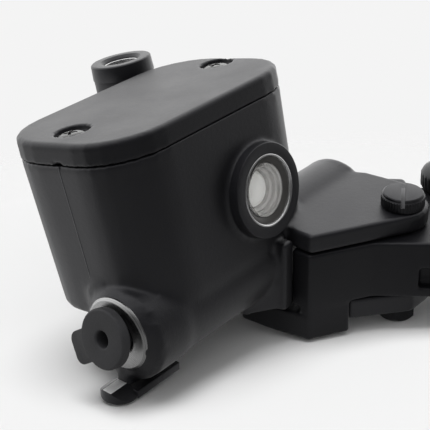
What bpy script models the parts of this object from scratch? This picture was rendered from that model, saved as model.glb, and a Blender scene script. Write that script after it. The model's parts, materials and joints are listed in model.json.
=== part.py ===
"""Brake master cylinder with an integral reservoir, a bar clamp and a hinged lever.

World frame, metres: the origin is the centre of the handlebar bore, +X runs along
the handlebar from the fluid port to the lever, +Z is the lever's pivot axis, and
+Y points to the rider. The casting is drawn from a datum at the centre of the
port face, and the reservoir from the same datum tilted about X.
"""
import bpy
import bmesh
from math import acos, atan2, cos, pi, radians, sin, tan
from mathutils import Matrix, Vector

mm = 0.001
gap = 0.3 * mm                    # between pieces that touch
slack = 0.5 * mm                  # between pieces that move past each other

# casting: hydraulic barrel and fluid port
reservoir_tilt = radians(13.74)   # reservoir leans back from the lever's pivot axis
barrel_radius = 12.0 * mm
barrel_drop = 1.5 * mm            # the barrel's axis lies this far under the port's
barrel_end = 97.0 * mm
barrel_dome = 4.0 * mm            # length of its rounded end
collar_radius = 12.5 * mm         # thicker stretch round the port
collar_end = 13.5 * mm
port_face_radius = 9.33 * mm
port_thread_radius = 4.6 * mm
port_depth = 13.0 * mm
spot_face_radius = 13.9 * mm      # clears the hose fitting ahead of the port face
lug_reach = 4.8 * mm              # how far the stop lug's tongue stands ahead of the port
lug_half_width = 4.95 * mm
lug_bottom = -17.9 * mm
bore_radius = 6.35 * mm
bore_start = 15.0 * mm
mouth_x = 53.5 * mm               # open end of the bore, at the root of the fork
seal_seat_radius = 8.2 * mm
seal_seat_depth = 4.6 * mm

# casting: reservoir
tank_centre = (37.4 * mm, 9.9 * mm)
tank_half = (34.7 * mm, 23.0 * mm)
tank_corner = 16.0 * mm
tank_rim = 42.3 * mm
tank_foot = 0.6 * mm
tank_draft = radians(2.0)
tank_wall = 3.0 * mm
tank_floor = 15.0 * mm
rebate_width = 1.5 * mm
rebate_depth = 1.5 * mm
cover_height = 5.4 * mm
cover_round = 1.3 * mm
cover_screws = ((12.2 * mm, 12.0 * mm), (66.6 * mm, 11.6 * mm))
cover_recess_radius = 4.6 * mm
cover_recess_depth = 1.6 * mm
post_radius = 4.8 * mm
screw_radius = 2.0 * mm
screw_length = 15.0 * mm
screw_head_radius = 3.9 * mm
screw_head_height = 2.2 * mm

# sight glass in the front wall
sight_x = 47.0 * mm
sight_height = 20.2 * mm
sight_front = 15.9 * mm           # face of its boss, ahead of the datum
sight_seat = 11.6 * mm
sight_boss_radius = 12.25 * mm
sight_ring_radius = 9.5 * mm
sight_ring_width = 1.2 * mm
sight_lens_radius = 7.9 * mm
sight_window_radius = 6.6 * mm

# handlebar clamp
bar_radius = 11.1 * mm            # a 22.2 mm handlebar
bar_x = 62.0 * mm
bar_back = 45.0 * mm              # in the tilted frame
bar_drop = 2.0 * mm
clamp_width = 24.0 * mm
clamp_radius = 16.0 * mm
clamp_bolt_reach = 16.5 * mm
clamp_lug_reach = 22.5 * mm
clamp_lug_front = 34.0 * mm
clamp_split = 0.8 * mm
clamp_bolt_radius = 3.0 * mm
clamp_bolt_head_radius = 5.0 * mm
clamp_bolt_head_height = 6.0 * mm
cap_lug_depth = 8.0 * mm
mirror_top = 50.4 * mm
mirror_radius = 8.75 * mm
mirror_back = 44.0 * mm
mirror_thread_radius = 4.4 * mm
mirror_thread_depth = 22.0 * mm

# lever fork
pivot_x = 84.1 * mm
pivot_y = -28.0 * mm
ear_top = 9.0 * mm
ear_bottom = 3.6 * mm
ear_round = 1.8 * mm
lower_ear_top = -14.2 * mm
lower_ear_bottom = -20.5 * mm
fork_root_bottom = -13.7 * mm
fork_back = 9.0 * mm
fork_back_wall = 5.0 * mm
pivot_radius = 3.0 * mm
bush_radius = 4.3 * mm
pivot_head_radius = 6.05 * mm
pivot_head_height = 4.0 * mm
pivot_slot = 1.2 * mm
pivot_slot_turn = radians(31.0)
nut_flats = 10.0 * mm
nut_height = 5.4 * mm
nut_corner = nut_flats / 2 / cos(pi / 6)

# lever
lever_top = 3.2 * mm
lever_bottom = -13.7 * mm
shroud_bottom = -4.3 * mm         # underside of the blade's root
block_left = 54.4 * mm
block_front = -18.7 * mm
front_bend_x = 70.4 * mm          # where the lever's front face turns away from the fork
front_bend_y = -28.4 * mm
front_turn = radians(-53.7)
front_length = 22.0 * mm
pocket_along = 12.3 * mm          # lightening pocket in the front face
pocket_width = 6.0 * mm
pocket_depth = 3.2 * mm
pocket_top = -4.6 * mm
pocket_bottom = -10.9 * mm
foot_top = -16.0 * mm
foot_bottom = -23.7 * mm
blade_end = 226.0 * mm
blade_depth = 9.0 * mm
blade_height = 12.0 * mm
ball_radius = 9.0 * mm
cam_radius = 5.0 * mm
cam_x = 73.0 * mm
cam_y = 1.5 * mm
arm_hub_radius = 7.8 * mm
arm_top = 0.6 * mm
arm_bottom = -6.2 * mm

# adjuster wheel on the lever
wheel_x = 111.0 * mm
wheel_y = -27.5 * mm
wheel_radius = 8.5 * mm
wheel_height = 6.6 * mm
wheel_scallops = 18

# hydraulic parts
piston_front = 33.5 * mm          # at rest, the lever released
circlip_thickness = 1.0 * mm
rod_radius = 2.4 * mm
rod_head_radius = 4.6 * mm
rod_head_thickness = 2.0 * mm
spring_wire = 0.55 * mm
spring_turns = 5

# brake light switch
switch_x = 57.5 * mm
switch_y = 5.0 * mm
switch_size = (18.0 * mm, 12.0 * mm, 7.0 * mm)
switch_top = -15.0 * mm
plunger_radius = 1.6 * mm


# ---------------------------------------------------------------- shape tools

def clear_scene():
    for obj in list(bpy.data.objects):
        bpy.data.objects.remove(obj, do_unlink=True)
    for name in ("brake_master_cylinder", "construction"):
        collection = bpy.data.collections.new(name)
        bpy.context.scene.collection.children.link(collection)


def frame_empty(name, location, parent=None, tilt=0.0):
    empty = bpy.data.objects.new(name, None)
    bpy.data.collections["construction"].objects.link(empty)
    empty.hide_render = True
    empty.parent = parent
    empty.location = location
    empty.rotation_euler = (tilt, 0.0, 0.0)
    return empty


def new_object(name, mesh, parent, location=(0, 0, 0), rotation=(0, 0, 0)):
    obj = bpy.data.objects.new(name, mesh)
    bpy.data.collections["construction"].objects.link(obj)
    obj.hide_render = True
    obj.display_type = "WIRE"
    obj.parent = parent
    obj.location = location
    obj.rotation_euler = rotation
    return obj


def finish_part(obj, name, material):
    """Turn a construction shape into a named part with its material."""
    bpy.data.collections["construction"].objects.unlink(obj)
    bpy.data.collections["brake_master_cylinder"].objects.link(obj)
    obj.name = name
    obj.hide_render = False
    obj.display_type = "TEXTURED"
    obj.data.materials.clear()
    obj.data.materials.append(material)
    for polygon in obj.data.polygons:
        polygon.use_smooth = True
    obj.data.set_sharp_from_angle(angle=radians(32))
    return obj


def rounded_outline(corners, steps=6):
    """Replace each corner (x, y, radius) of a closed outline by an arc."""
    outline = []
    count = len(corners)
    for i, (x, y, radius) in enumerate(corners):
        here = Vector((x, y))
        before = Vector(corners[i - 1][:2])
        after = Vector(corners[(i + 1) % count][:2])
        if radius <= 0:
            outline.append(here)
            continue
        to_before = (before - here).normalized()
        to_after = (after - here).normalized()
        half_angle = acos(max(-1.0, min(1.0, to_before.dot(to_after)))) / 2
        reach = radius / tan(half_angle)
        centre = here + (to_before + to_after).normalized() * radius / sin(half_angle)
        start = here + to_before * reach - centre
        end = here + to_after * reach - centre
        turn = atan2(start.x * end.y - start.y * end.x, start.dot(end))
        for step in range(steps + 1):
            angle = turn * step / steps
            outline.append(centre + Matrix.Rotation(angle, 2) @ start)
    return outline


def belt_outline(a, b, spread=0.0, steps=10):
    """Outline round two circles (x, y, radius) and the tangents that join them."""
    start, end = Vector(a[:2]), Vector(b[:2])
    span = end - start
    heading = atan2(span.y, span.x)
    open_angle = acos((a[2] - b[2]) / span.length)
    outline = []
    for centre, radius, first, last in (
            (end, b[2] + spread, heading - open_angle, heading + open_angle),
            (start, a[2] + spread, heading + open_angle,
             heading - open_angle + 2 * pi)):
        for step in range(steps + 1):
            angle = first + (last - first) * step / steps
            outline.append(centre + Vector((cos(angle), sin(angle))) * radius)
    return outline


def curve_to_mesh(name, curve):
    """Make a filled curve a closed mesh with its flat faces whole."""
    source = bpy.data.objects.new(name + "_curve", curve)
    bpy.context.scene.collection.objects.link(source)
    depsgraph = bpy.context.evaluated_depsgraph_get()
    mesh = bpy.data.meshes.new_from_object(source.evaluated_get(depsgraph))
    bpy.data.objects.remove(source)
    shape = bmesh.new()
    shape.from_mesh(mesh)
    bmesh.ops.remove_doubles(shape, verts=shape.verts, dist=0.00001)
    bmesh.ops.dissolve_limit(shape, angle_limit=radians(0.5),
                             verts=shape.verts, edges=shape.edges)
    bmesh.ops.recalc_face_normals(shape, faces=shape.faces)
    shape.to_mesh(mesh)
    shape.free()
    mesh.name = name
    return mesh


def flat_solid(name, outline, low, high, parent, rotation=(0, 0, 0), location=(0, 0, 0)):
    """An outline in the XY plane, as thick as from low to high along Z."""
    curve = bpy.data.curves.new(name, "CURVE")
    curve.dimensions = "2D"
    curve.fill_mode = "BOTH"
    curve.extrude = (high - low) / 2
    spline = curve.splines.new("POLY")
    spline.points.add(len(outline) - 1)
    for point, (x, y) in zip(spline.points, outline):
        point.co = (x, y, 0, 1)
    spline.use_cyclic_u = True
    mesh = curve_to_mesh(name, curve)
    mesh.transform(Matrix.Translation((0, 0, (low + high) / 2)))
    return new_object(name, mesh, parent, location, rotation)


def box(name, low, high, parent, rotation=(0, 0, 0), location=(0, 0, 0)):
    mesh = bpy.data.meshes.new(name)
    shape = bmesh.new()
    size = [b - a for a, b in zip(low, high)]
    middle = [(a + b) / 2 for a, b in zip(low, high)]
    place = Matrix.Translation(middle) @ Matrix.Diagonal((*size, 1))
    bmesh.ops.create_cube(shape, size=1, matrix=place)
    shape.to_mesh(mesh)
    shape.free()
    return new_object(name, mesh, parent, location, rotation)


def cylinder(name, radius, low, high, parent, location=(0, 0, 0), rotation=(0, 0, 0),
             segments=32, top_radius=None):
    """A cylinder or cone along its own Z, from low to high."""
    mesh = bpy.data.meshes.new(name)
    shape = bmesh.new()
    place = Matrix.Translation((0, 0, (low + high) / 2))
    bmesh.ops.create_cone(shape, cap_ends=True, segments=segments, radius1=radius,
                          radius2=radius if top_radius is None else top_radius,
                          depth=high - low, matrix=place)
    shape.to_mesh(mesh)
    shape.free()
    return new_object(name, mesh, parent, location, rotation)


def turned(name, profile, parent, location=(0, 0, 0), rotation=(0, 0, 0), segments=28,
           closed=False):
    """Spin a profile of (radius, height) points, listed down its outer side."""
    mesh = bpy.data.meshes.new(name)
    points = [(radius, 0.0, height) for radius, height in profile]
    edges = [(i, i + 1) for i in range(len(points) - 1)]
    if closed:
        edges.append((len(points) - 1, 0))
    mesh.from_pydata(points, edges, [])
    obj = new_object(name, mesh, parent, location, rotation)
    screw = obj.modifiers.new("turn", "SCREW")
    screw.steps = segments
    screw.render_steps = segments
    screw.use_merge_vertices = True
    screw.merge_threshold = 0.00001
    return obj


def rounded_rim(obj, width, segments=2, angle=40):
    bevel = obj.modifiers.new("round", "BEVEL")
    bevel.width = width
    bevel.segments = segments
    bevel.limit_method = "ANGLE"
    bevel.angle_limit = radians(angle)
    return obj


def fuse(target, *pieces):
    for piece in pieces:
        union = target.modifiers.new("fuse " + piece.name, "BOOLEAN")
        union.operation = "UNION"
        union.object = piece
    return target


def cut(target, *cutters):
    for cutter in cutters:
        removal = target.modifiers.new("cut " + cutter.name, "BOOLEAN")
        removal.operation = "DIFFERENCE"
        removal.object = cutter
    return target


def keep_common(target, piece):
    shared = target.modifiers.new("shared with " + piece.name, "BOOLEAN")
    shared.operation = "INTERSECT"
    shared.object = piece
    return target


def use_manifold_solver(obj):
    """For many-sided shapes that nearly touch along their faces, where EXACT fails."""
    for modifier in obj.modifiers:
        if modifier.type == "BOOLEAN":
            modifier.solver = "MANIFOLD"
    return obj


def material(name, colour, roughness, metallic=0.0):
    paint = bpy.data.materials.new(name)
    paint.use_nodes = True
    shader = paint.node_tree.nodes["Principled BSDF"]
    shader.inputs["Base Color"].default_value = (*colour, 1)
    shader.inputs["Roughness"].default_value = roughness
    shader.inputs["Metallic"].default_value = metallic
    paint.diffuse_color = (*colour, 1)
    return paint


along_x = (0, pi / 2, 0)          # local +Z to +X
towards_front = (pi / 2, 0, 0)    # local +Z to -Y
towards_rider = (-pi / 2, 0, 0)   # local +Z to +Y
side_view = towards_front         # an outline's Y to +Z


# ---------------------------------------------------------------- the casting

def tank_outline(inset=0.0, steps=6):
    """The reservoir's plan, a rectangle with big round corners."""
    half_x = tank_half[0] - inset
    half_y = tank_half[1] - inset
    radius = tank_corner - inset
    x, y = tank_centre
    corners = [(x - half_x, y - half_y, radius), (x + half_x, y - half_y, radius),
               (x + half_x, y + half_y, radius), (x - half_x, y + half_y, radius)]
    return rounded_outline(corners, steps)


def tapered_tank(name, inset, foot, top, tilted):
    """The tank's plan drawn down to its foot, smaller by the draft of its walls."""
    solid = flat_solid(name, tank_outline(inset), foot, top, tilted)
    shrink = (tank_rim - foot) * tan(tank_draft)
    for vertex in solid.data.vertices:
        if vertex.co.z < (foot + top) / 2:
            vertex.co.x += (tank_centre[0] - vertex.co.x) * shrink / tank_half[0]
            vertex.co.y += (tank_centre[1] - vertex.co.y) * shrink / tank_half[1]
    return solid


def domed_barrel(datum):
    """The barrel's profile: a chamfered port end and an elliptical far end."""
    dome_steps = 4
    profile = [(0, barrel_end)]
    for step in range(1, dome_steps + 1):
        angle = pi / 2 * step / dome_steps
        profile.append((barrel_radius * sin(angle),
                        barrel_end - barrel_dome * (1 - cos(angle))))
    profile.append((barrel_radius, collar_end + 2.0 * mm))
    profile.append((collar_radius, collar_end))
    profile.append((collar_radius, 3.4 * mm))
    profile.append((collar_radius - 0.9 * mm, 1.7 * mm))
    profile.append((collar_radius - 2.6 * mm, 0.9 * mm))
    profile.append((0, 0.9 * mm))
    return turned("barrel", profile, datum, (0, 0, -barrel_drop), along_x, segments=36)


def port_boss(datum):
    profile = [(0, 6 * mm), (port_face_radius + 0.4 * mm, 6 * mm),
               (port_face_radius + 0.4 * mm, 0.5 * mm),
               (port_face_radius, 0), (0, 0)]
    return turned("port_boss", profile, datum, (0, 0, 0), along_x, segments=40)


def stop_lug(datum):
    """The ledge under the port and its round tongue, which keep the hose
    fitting from turning; the port's spot face scoops the tongue's top."""
    tip, root = -lug_reach, 16.7 * mm
    side = lug_half_width
    ledge_plan = rounded_outline([(tip, -side, side - 0.1 * mm), (root, -side, 1.2 * mm),
                                  (root, side, 1.2 * mm), (tip, side, side - 0.1 * mm)], 5)
    ledge = flat_solid("stop_ledge", ledge_plan, lug_bottom, lug_bottom + 2.1 * mm, datum)
    rounded_rim(ledge, 0.5 * mm, 1, 60)
    inner = side - 0.15 * mm
    tongue_plan = rounded_outline([(tip + 0.15 * mm, -inner, inner - 0.1 * mm),
                                   (0.4 * mm, -inner, 0), (0.4 * mm, inner, 0),
                                   (tip + 0.15 * mm, inner, inner - 0.1 * mm)], 6)
    tongue = flat_solid("stop_tongue", tongue_plan, lug_bottom + 1.0 * mm, -9.0 * mm, datum)
    scoop = cylinder("tongue_scoop", spot_face_radius, -12 * mm, 4 * mm, datum,
                     rotation=along_x, segments=48)
    cut(tongue, scoop)
    web = box("stop_web", (0.9 * mm, -2.4 * mm, lug_bottom + 1.5 * mm),
              (14.6 * mm, 2.4 * mm, -9.0 * mm), datum)
    rounded_rim(web, 0.6 * mm, 1)
    return ledge, tongue, web


def sight_boss(tilted):
    profile = [(0, sight_front), (sight_boss_radius - 0.4 * mm, sight_front),
               (sight_boss_radius, sight_front - 0.4 * mm),
               (sight_boss_radius + 0.3 * mm, 9.0 * mm), (0, 9.0 * mm)]
    return turned("sight_boss", profile, tilted, (sight_x, 0, sight_height),
                  towards_front, segments=48)


def upper_ear_outline(steps=6):
    """Plan of the ear: its front edge runs at 30 degrees past the pivot."""
    return rounded_outline([(54.6 * mm, -18.8 * mm, 1.6 * mm),
                            (88.6 * mm, -38.4 * mm, 9.0 * mm),
                            (96.2 * mm, -22.0 * mm, 9.0 * mm),
                            (94.6 * mm, -8.0 * mm, 3.0 * mm),
                            (88.0 * mm, 2.0 * mm, 3.0 * mm),
                            (54.6 * mm, 4.0 * mm, 1.0 * mm)], steps)


def lower_ear_outline(steps=6):
    return rounded_outline([(66.0 * mm, -24.4 * mm, 1.5 * mm),
                            (79.6 * mm, -35.6 * mm, 3.0 * mm),
                            (91.6 * mm, -36.2 * mm, 6.0 * mm),
                            (94.4 * mm, -24.0 * mm, 7.5 * mm),
                            (88.0 * mm, 8.0 * mm, 2.0 * mm),
                            (88.0 * mm, fork_back + fork_back_wall, 1.0 * mm),
                            (67.3 * mm, fork_back + fork_back_wall, 1.0 * mm),
                            (67.3 * mm, 4.4 * mm, 0),
                            (66.0 * mm, 2.4 * mm, 0)], steps)


def fork_forms(datum):
    """Both ears, the root wall and the back wall that joins them."""
    upper = flat_solid("upper_ear", upper_ear_outline(), ear_bottom, ear_top, datum)
    rounded_rim(upper, ear_round, 3, 60)
    lower = flat_solid("lower_ear", lower_ear_outline(), lower_ear_bottom,
                       lower_ear_top, datum)
    rounded_rim(lower, 0.8 * mm, 2, 60)
    root = box("fork_root", (49.2 * mm, -14.0 * mm, fork_root_bottom),
               (mouth_x, 2.0 * mm, ear_top - 2.0 * mm), datum)
    rounded_rim(root, 0.8 * mm, 2)
    gusset_plan = rounded_outline([(40.5 * mm, -7.0 * mm, 0), (50.5 * mm, -13.6 * mm, 0),
                                   (50.5 * mm, 2.0 * mm, 0), (40.5 * mm, 2.0 * mm, 0)], 2)
    gusset = flat_solid("fork_gusset", gusset_plan, fork_root_bottom + 0.4 * mm,
                        -4.0 * mm, datum)
    rounded_rim(gusset, 0.8 * mm, 2)
    back = box("fork_back", (67.3 * mm, fork_back, lower_ear_bottom + 0.6 * mm),
               (87.4 * mm, fork_back + fork_back_wall, 5.5 * mm), datum)
    rounded_rim(back, 1.0 * mm, 2)
    return upper, lower, root, gusset, back


def bar_place():
    """Centre of the handlebar in the tilted frame."""
    return bar_x, bar_back, -bar_drop


def lug_pair(name, near, far, tilted):
    """Bolt lugs over and under the handlebar, between two depths along Y."""
    x, y, z = bar_place()
    half = clamp_width / 2
    lugs = box(name, (x - half, near, z - clamp_lug_reach),
               (x + half, far, z + clamp_lug_reach), tilted)
    return rounded_rim(lugs, 4.0 * mm, 4)


def clamp_forms(datum, tilted):
    """The half of the clamp that is cast with the body, and its bridge."""
    x, y, z = bar_place()
    half = clamp_width / 2
    ring = cylinder("clamp_ring", clamp_radius, -half, half, tilted, (x, y, z),
                    along_x, segments=48)
    rounded_rim(ring, 1.2 * mm, 2)
    lugs = lug_pair("clamp_lugs", clamp_lug_front, y + 8 * mm, tilted)
    bridge = box("clamp_bridge", (x - half + 1.5 * mm, 4 * mm, switch_top),
                 (x + half - 1.5 * mm, 36 * mm, 4.0 * mm), datum)
    rounded_rim(bridge, 2.0 * mm, 2)
    return ring, lugs, bridge


def mirror_forms(tilted):
    """The mirror boss, a tapered column that stands on the clamp."""
    profile = [(0, mirror_top), (mirror_radius - 0.8 * mm, mirror_top),
               (mirror_radius, mirror_top - 0.8 * mm),
               (mirror_radius + 0.6 * mm, 12.0 * mm), (0, 12.0 * mm)]
    column = turned("mirror_column", profile, tilted, (bar_x, mirror_back, 0),
                    segments=40)
    web = box("mirror_web", (bar_x - 4.0 * mm, 28.0 * mm, 6.0 * mm),
              (bar_x + 4.0 * mm, mirror_back - 3.0 * mm, 37.0 * mm), tilted)
    rounded_rim(web, 1.2 * mm, 2)
    return column, web


def tank_cavity(tilted):
    """The fluid space, with the posts of the cover screws left standing."""
    cavity = tapered_tank("tank_cavity", tank_wall, tank_floor, tank_rim + 1 * mm,
                          tilted)
    rounded_rim(cavity, 2.0 * mm, 2, 60)
    posts = []
    for i, (x, y) in enumerate(cover_screws):
        outwards = 1 if x > tank_centre[0] else -1
        post = cylinder("screw_post_%d" % i, post_radius, tank_floor - 2 * mm,
                        tank_rim + 2 * mm, tilted, (x, y, 0), segments=24)
        wing = box("post_wing_%d" % i, (-7 * mm, -post_radius, tank_floor - 2 * mm),
                   (7 * mm, post_radius, tank_rim + 2 * mm), tilted,
                   location=(x + outwards * 7 * mm, y, 0))
        posts += [post, wing]
    return cut(cavity, *posts)


def fork_space(datum):
    """What the lever swings in: open in front and outboard, closed at the back."""
    outline = rounded_outline([(mouth_x, -60 * mm, 0), (130 * mm, -60 * mm, 0),
                               (130 * mm, fork_back, 0),
                               (mouth_x, fork_back, 2.0 * mm)], 4)
    return flat_solid("fork_space", outline, lower_ear_top, ear_bottom, datum)


def bore_tool(datum):
    """The stepped bore, from the port's thread to the dust boot's seat."""
    profile = [(0, mouth_x + 1 * mm),
               (seal_seat_radius, mouth_x + 1 * mm),
               (seal_seat_radius, mouth_x - seal_seat_depth),
               (bore_radius, mouth_x - seal_seat_depth - 1 * mm),
               (bore_radius, bore_start), (2.0 * mm, bore_start - 1.2 * mm),
               (2.0 * mm, port_depth - 2 * mm), (0, port_depth - 2 * mm)]
    return turned("bore", profile, datum, (0, 0, -barrel_drop), along_x, segments=32)


def port_tool(datum):
    profile = [(0, port_depth), (port_thread_radius, port_depth - 1.5 * mm),
               (port_thread_radius, 1.0 * mm),
               (port_thread_radius + 1.0 * mm, 0),
               (port_thread_radius + 1.0 * mm, -1 * mm), (0, -1 * mm)]
    return turned("port_thread", profile, datum, (0, 0, 0), along_x, segments=32)


def clamp_tools(tilted):
    x, y, z = bar_place()
    wide = clamp_width
    bar = cylinder("bar_bore", bar_radius + 0.05 * mm, -wide, wide, tilted, (x, y, z),
                   along_x, segments=64)
    beyond = box("cap_side", (x - wide, y - clamp_split / 2, z - 40 * mm),
                 (x + wide, y + 40 * mm, z + clamp_lug_reach + slack), tilted)
    return beyond, bar


def bolt_places():
    x, y, z = bar_place()
    return [(x, z + side * clamp_bolt_reach) for side in (1, -1)]


def bolt_tools(tilted):
    tools = []
    for i, (x, z) in enumerate(bolt_places()):
        tools.append(cylinder("clamp_bolt_hole_%d" % i, clamp_bolt_radius + gap,
                              36.5 * mm, 60 * mm, tilted, (x, 0, z),
                              towards_rider, segments=24))
    return tools


def body_casting(datum, tilted, paint):
    body = domed_barrel(datum)
    tank = tapered_tank("tank", 0.0, tank_foot, tank_rim, tilted)
    rounded_rim(tank, 3.0 * mm, 3, 60).modifiers["round"].limit_method = "VGROUP"
    foot_group = tank.vertex_groups.new(name="foot")
    foot_group.add([v.index for v in tank.data.vertices if v.co.z < tank_foot + 1 * mm],
                   1.0, "REPLACE")
    tank.modifiers["round"].vertex_group = "foot"
    fuse(body, port_boss(datum), *stop_lug(datum), tank, sight_boss(tilted))
    fuse(body, *fork_forms(datum))
    fuse(body, *clamp_forms(datum, tilted), *mirror_forms(tilted))
    cut(body, *clamp_tools(tilted), *bolt_tools(tilted))
    cut(body, tank_cavity(tilted))
    rebate = flat_solid("rim_rebate", tank_outline(tank_wall - rebate_width),
                        tank_rim - rebate_depth, tank_rim + 1 * mm, tilted)
    cut(body, rebate, fork_space(datum), bore_tool(datum), port_tool(datum))
    for i, (px, py) in enumerate(cover_screws):
        cut(body, cylinder("cover_screw_hole_%d" % i, screw_radius + gap,
                           tank_rim - screw_length, tank_rim + 2 * mm, tilted,
                           (px, py, 0), segments=20))
    feed = cylinder("feed_hole", 1.5 * mm, 0, tank_floor + 2 * mm, datum,
                    (piston_front + 6.4 * mm, 0, 0), segments=16)
    bleed = cylinder("bleed_hole", 0.6 * mm, 0, tank_floor + 2 * mm, datum,
                     (piston_front - 1.2 * mm, 0, 0), segments=12)
    window = cylinder("sight_window", sight_window_radius, 5 * mm, 14.2 * mm, tilted,
                      (sight_x, 0, sight_height), towards_front, segments=40)
    seat = cylinder("sight_seat", sight_ring_radius, sight_seat, 17 * mm, tilted,
                    (sight_x, 0, sight_height), towards_front, segments=48)
    cut(body, feed, bleed, window, seat)
    pivot = cylinder("pivot_hole", pivot_radius + 0.05 * mm, -30 * mm, 20 * mm, datum,
                     (pivot_x, pivot_y, 0), segments=32)
    thread = cylinder("mirror_thread", mirror_thread_radius,
                      mirror_top - mirror_thread_depth, mirror_top + 1 * mm, tilted,
                      (bar_x, mirror_back, 0), segments=32)
    screw = cylinder("switch_screw_hole", 1.6 * mm, switch_top - 1 * mm,
                     switch_top + 8 * mm, datum, switch_screw_place(), segments=16)
    cut(body, pivot, thread, screw)
    return finish_part(use_manifold_solver(body), "body_casting", paint)


# ---------------------------------------------------------------- reservoir top

def reservoir_cover(tilted, paint):
    low = tank_rim + 0.1 * mm
    high = low + cover_height
    cover = flat_solid("cover", tank_outline(0.0, 6), low, high, tilted)
    top = cover.vertex_groups.new(name="top")
    top.add([v.index for v in cover.data.vertices if v.co.z > low + 1 * mm], 1.0,
            "REPLACE")
    rounded_rim(cover, cover_round, 3, 60)
    cover.modifiers["round"].limit_method = "VGROUP"
    cover.modifiers["round"].vertex_group = "top"
    hollow = flat_solid("cover_hollow", tank_outline(tank_wall), low - 1 * mm,
                        low + 1.6 * mm, tilted)
    cut(cover, hollow)
    for i, (x, y) in enumerate(cover_screws):
        recess = cylinder("cover_recess_%d" % i, cover_recess_radius,
                          high - cover_recess_depth, high + 1 * mm, tilted, (x, y, 0),
                          segments=32)
        sink = cylinder("cover_sink_%d" % i, screw_radius + gap,
                        high - cover_recess_depth - screw_head_height,
                        high - cover_recess_depth + 0.01 * mm, tilted, (x, y, 0),
                        segments=24, top_radius=screw_head_radius + gap)
        hole = cylinder("cover_hole_%d" % i, screw_radius + gap, low - 1 * mm,
                        high, tilted, (x, y, 0), segments=20)
        cut(cover, recess, sink, hole)
    notch = box("seam_notch", (-1.0 * mm, -1.4 * mm, low - 1 * mm),
                (0.8 * mm, 1.4 * mm, low + 0.8 * mm), tilted,
                location=(tank_centre[0] - tank_half[0], tank_centre[1] - 1.0 * mm, 0))
    cut(cover, notch)
    return finish_part(cover, "reservoir_cover", paint)


def cover_screw(index, place, tilted, steel):
    """A countersunk screw; its cross is cut into the head."""
    head_top = tank_rim + 0.1 * mm + cover_height - cover_recess_depth + 0.2 * mm
    head_low = head_top - screw_head_height
    end = tank_rim - screw_length + 1.0 * mm
    profile = [(0, head_top), (screw_head_radius * 0.7, head_top - 0.05 * mm),
               (screw_head_radius, head_top - 0.5 * mm),
               (screw_radius, head_low), (screw_radius, end + 0.6 * mm),
               (screw_radius - 0.6 * mm, end), (0, end)]
    x, y = place
    screw = turned("screw", profile, tilted, (x, y, 0), segments=28)
    for turn in (0, 1):
        blade = box("cross_%d_%d" % (index, turn),
                    (-2.1 * mm, -0.45 * mm, head_top - 1.1 * mm),
                    (2.1 * mm, 0.45 * mm, head_top + 1 * mm), tilted,
                    rotation=(0, 0, radians(35 + 90 * turn)), location=(x, y, 0))
        cut(screw, blade)
    return finish_part(screw, "cover_screw_%d" % (index + 1), steel)


def diaphragm(tilted, rubber):
    """A rubber cup that hangs in the fluid space, its flange under the cover."""
    flange_top = tank_rim - 0.1 * mm
    flange_low = tank_rim - rebate_depth + 0.2 * mm
    cup_inset = tank_wall + 2.2 * mm
    cup_low = tank_rim - 11.0 * mm
    flange = flat_solid("flange", tank_outline(tank_wall - rebate_width + gap),
                        flange_low, flange_top, tilted)
    cup = flat_solid("cup", tank_outline(cup_inset), cup_low, flange_top - 0.4 * mm,
                     tilted)
    rounded_rim(cup, 2.0 * mm, 2, 60)
    fuse(flange, cup)
    inside = flat_solid("cup_inside", tank_outline(cup_inset + 1.2 * mm),
                        cup_low + 1.2 * mm, flange_top + 2 * mm, tilted)
    rounded_rim(inside, 1.2 * mm, 2, 60)
    cut(flange, inside)
    for i, (x, y) in enumerate(cover_screws):
        outwards = 1 if x > tank_centre[0] else -1
        clear = cylinder("diaphragm_clear_%d" % i, post_radius + 0.6 * mm,
                         cup_low - 2 * mm, flange_top + 3 * mm, tilted, (x, y, 0),
                         segments=24)
        side = box("diaphragm_side_%d" % i,
                   (-8 * mm, -post_radius - 0.6 * mm, cup_low - 2 * mm),
                   (8 * mm, post_radius + 0.6 * mm, flange_top + 3 * mm), tilted,
                   location=(x + outwards * 8 * mm, y, 0))
        cut(flange, clear, side)
    return finish_part(flange, "diaphragm", rubber)


def diaphragm_plate(tilted, plastic):
    """The stiff plate between the diaphragm and the cover."""
    low = tank_rim + 0.3 * mm
    plate = flat_solid("plate", tank_outline(tank_wall + gap), low, low + 1.1 * mm,
                       tilted)
    for i, (x, y) in enumerate(cover_screws):
        cut(plate, cylinder("plate_hole_%d" % i, screw_radius + slack, low - 1 * mm,
                            low + 2 * mm, tilted, (x, y, 0), segments=20))
    vent = cylinder("plate_vent", 2.5 * mm, low - 1 * mm, low + 2 * mm, tilted,
                    (tank_centre[0], tank_centre[1], 0), segments=20)
    cut(plate, vent)
    return finish_part(plate, "diaphragm_plate", plastic)


# ---------------------------------------------------------------- sight glass

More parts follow.
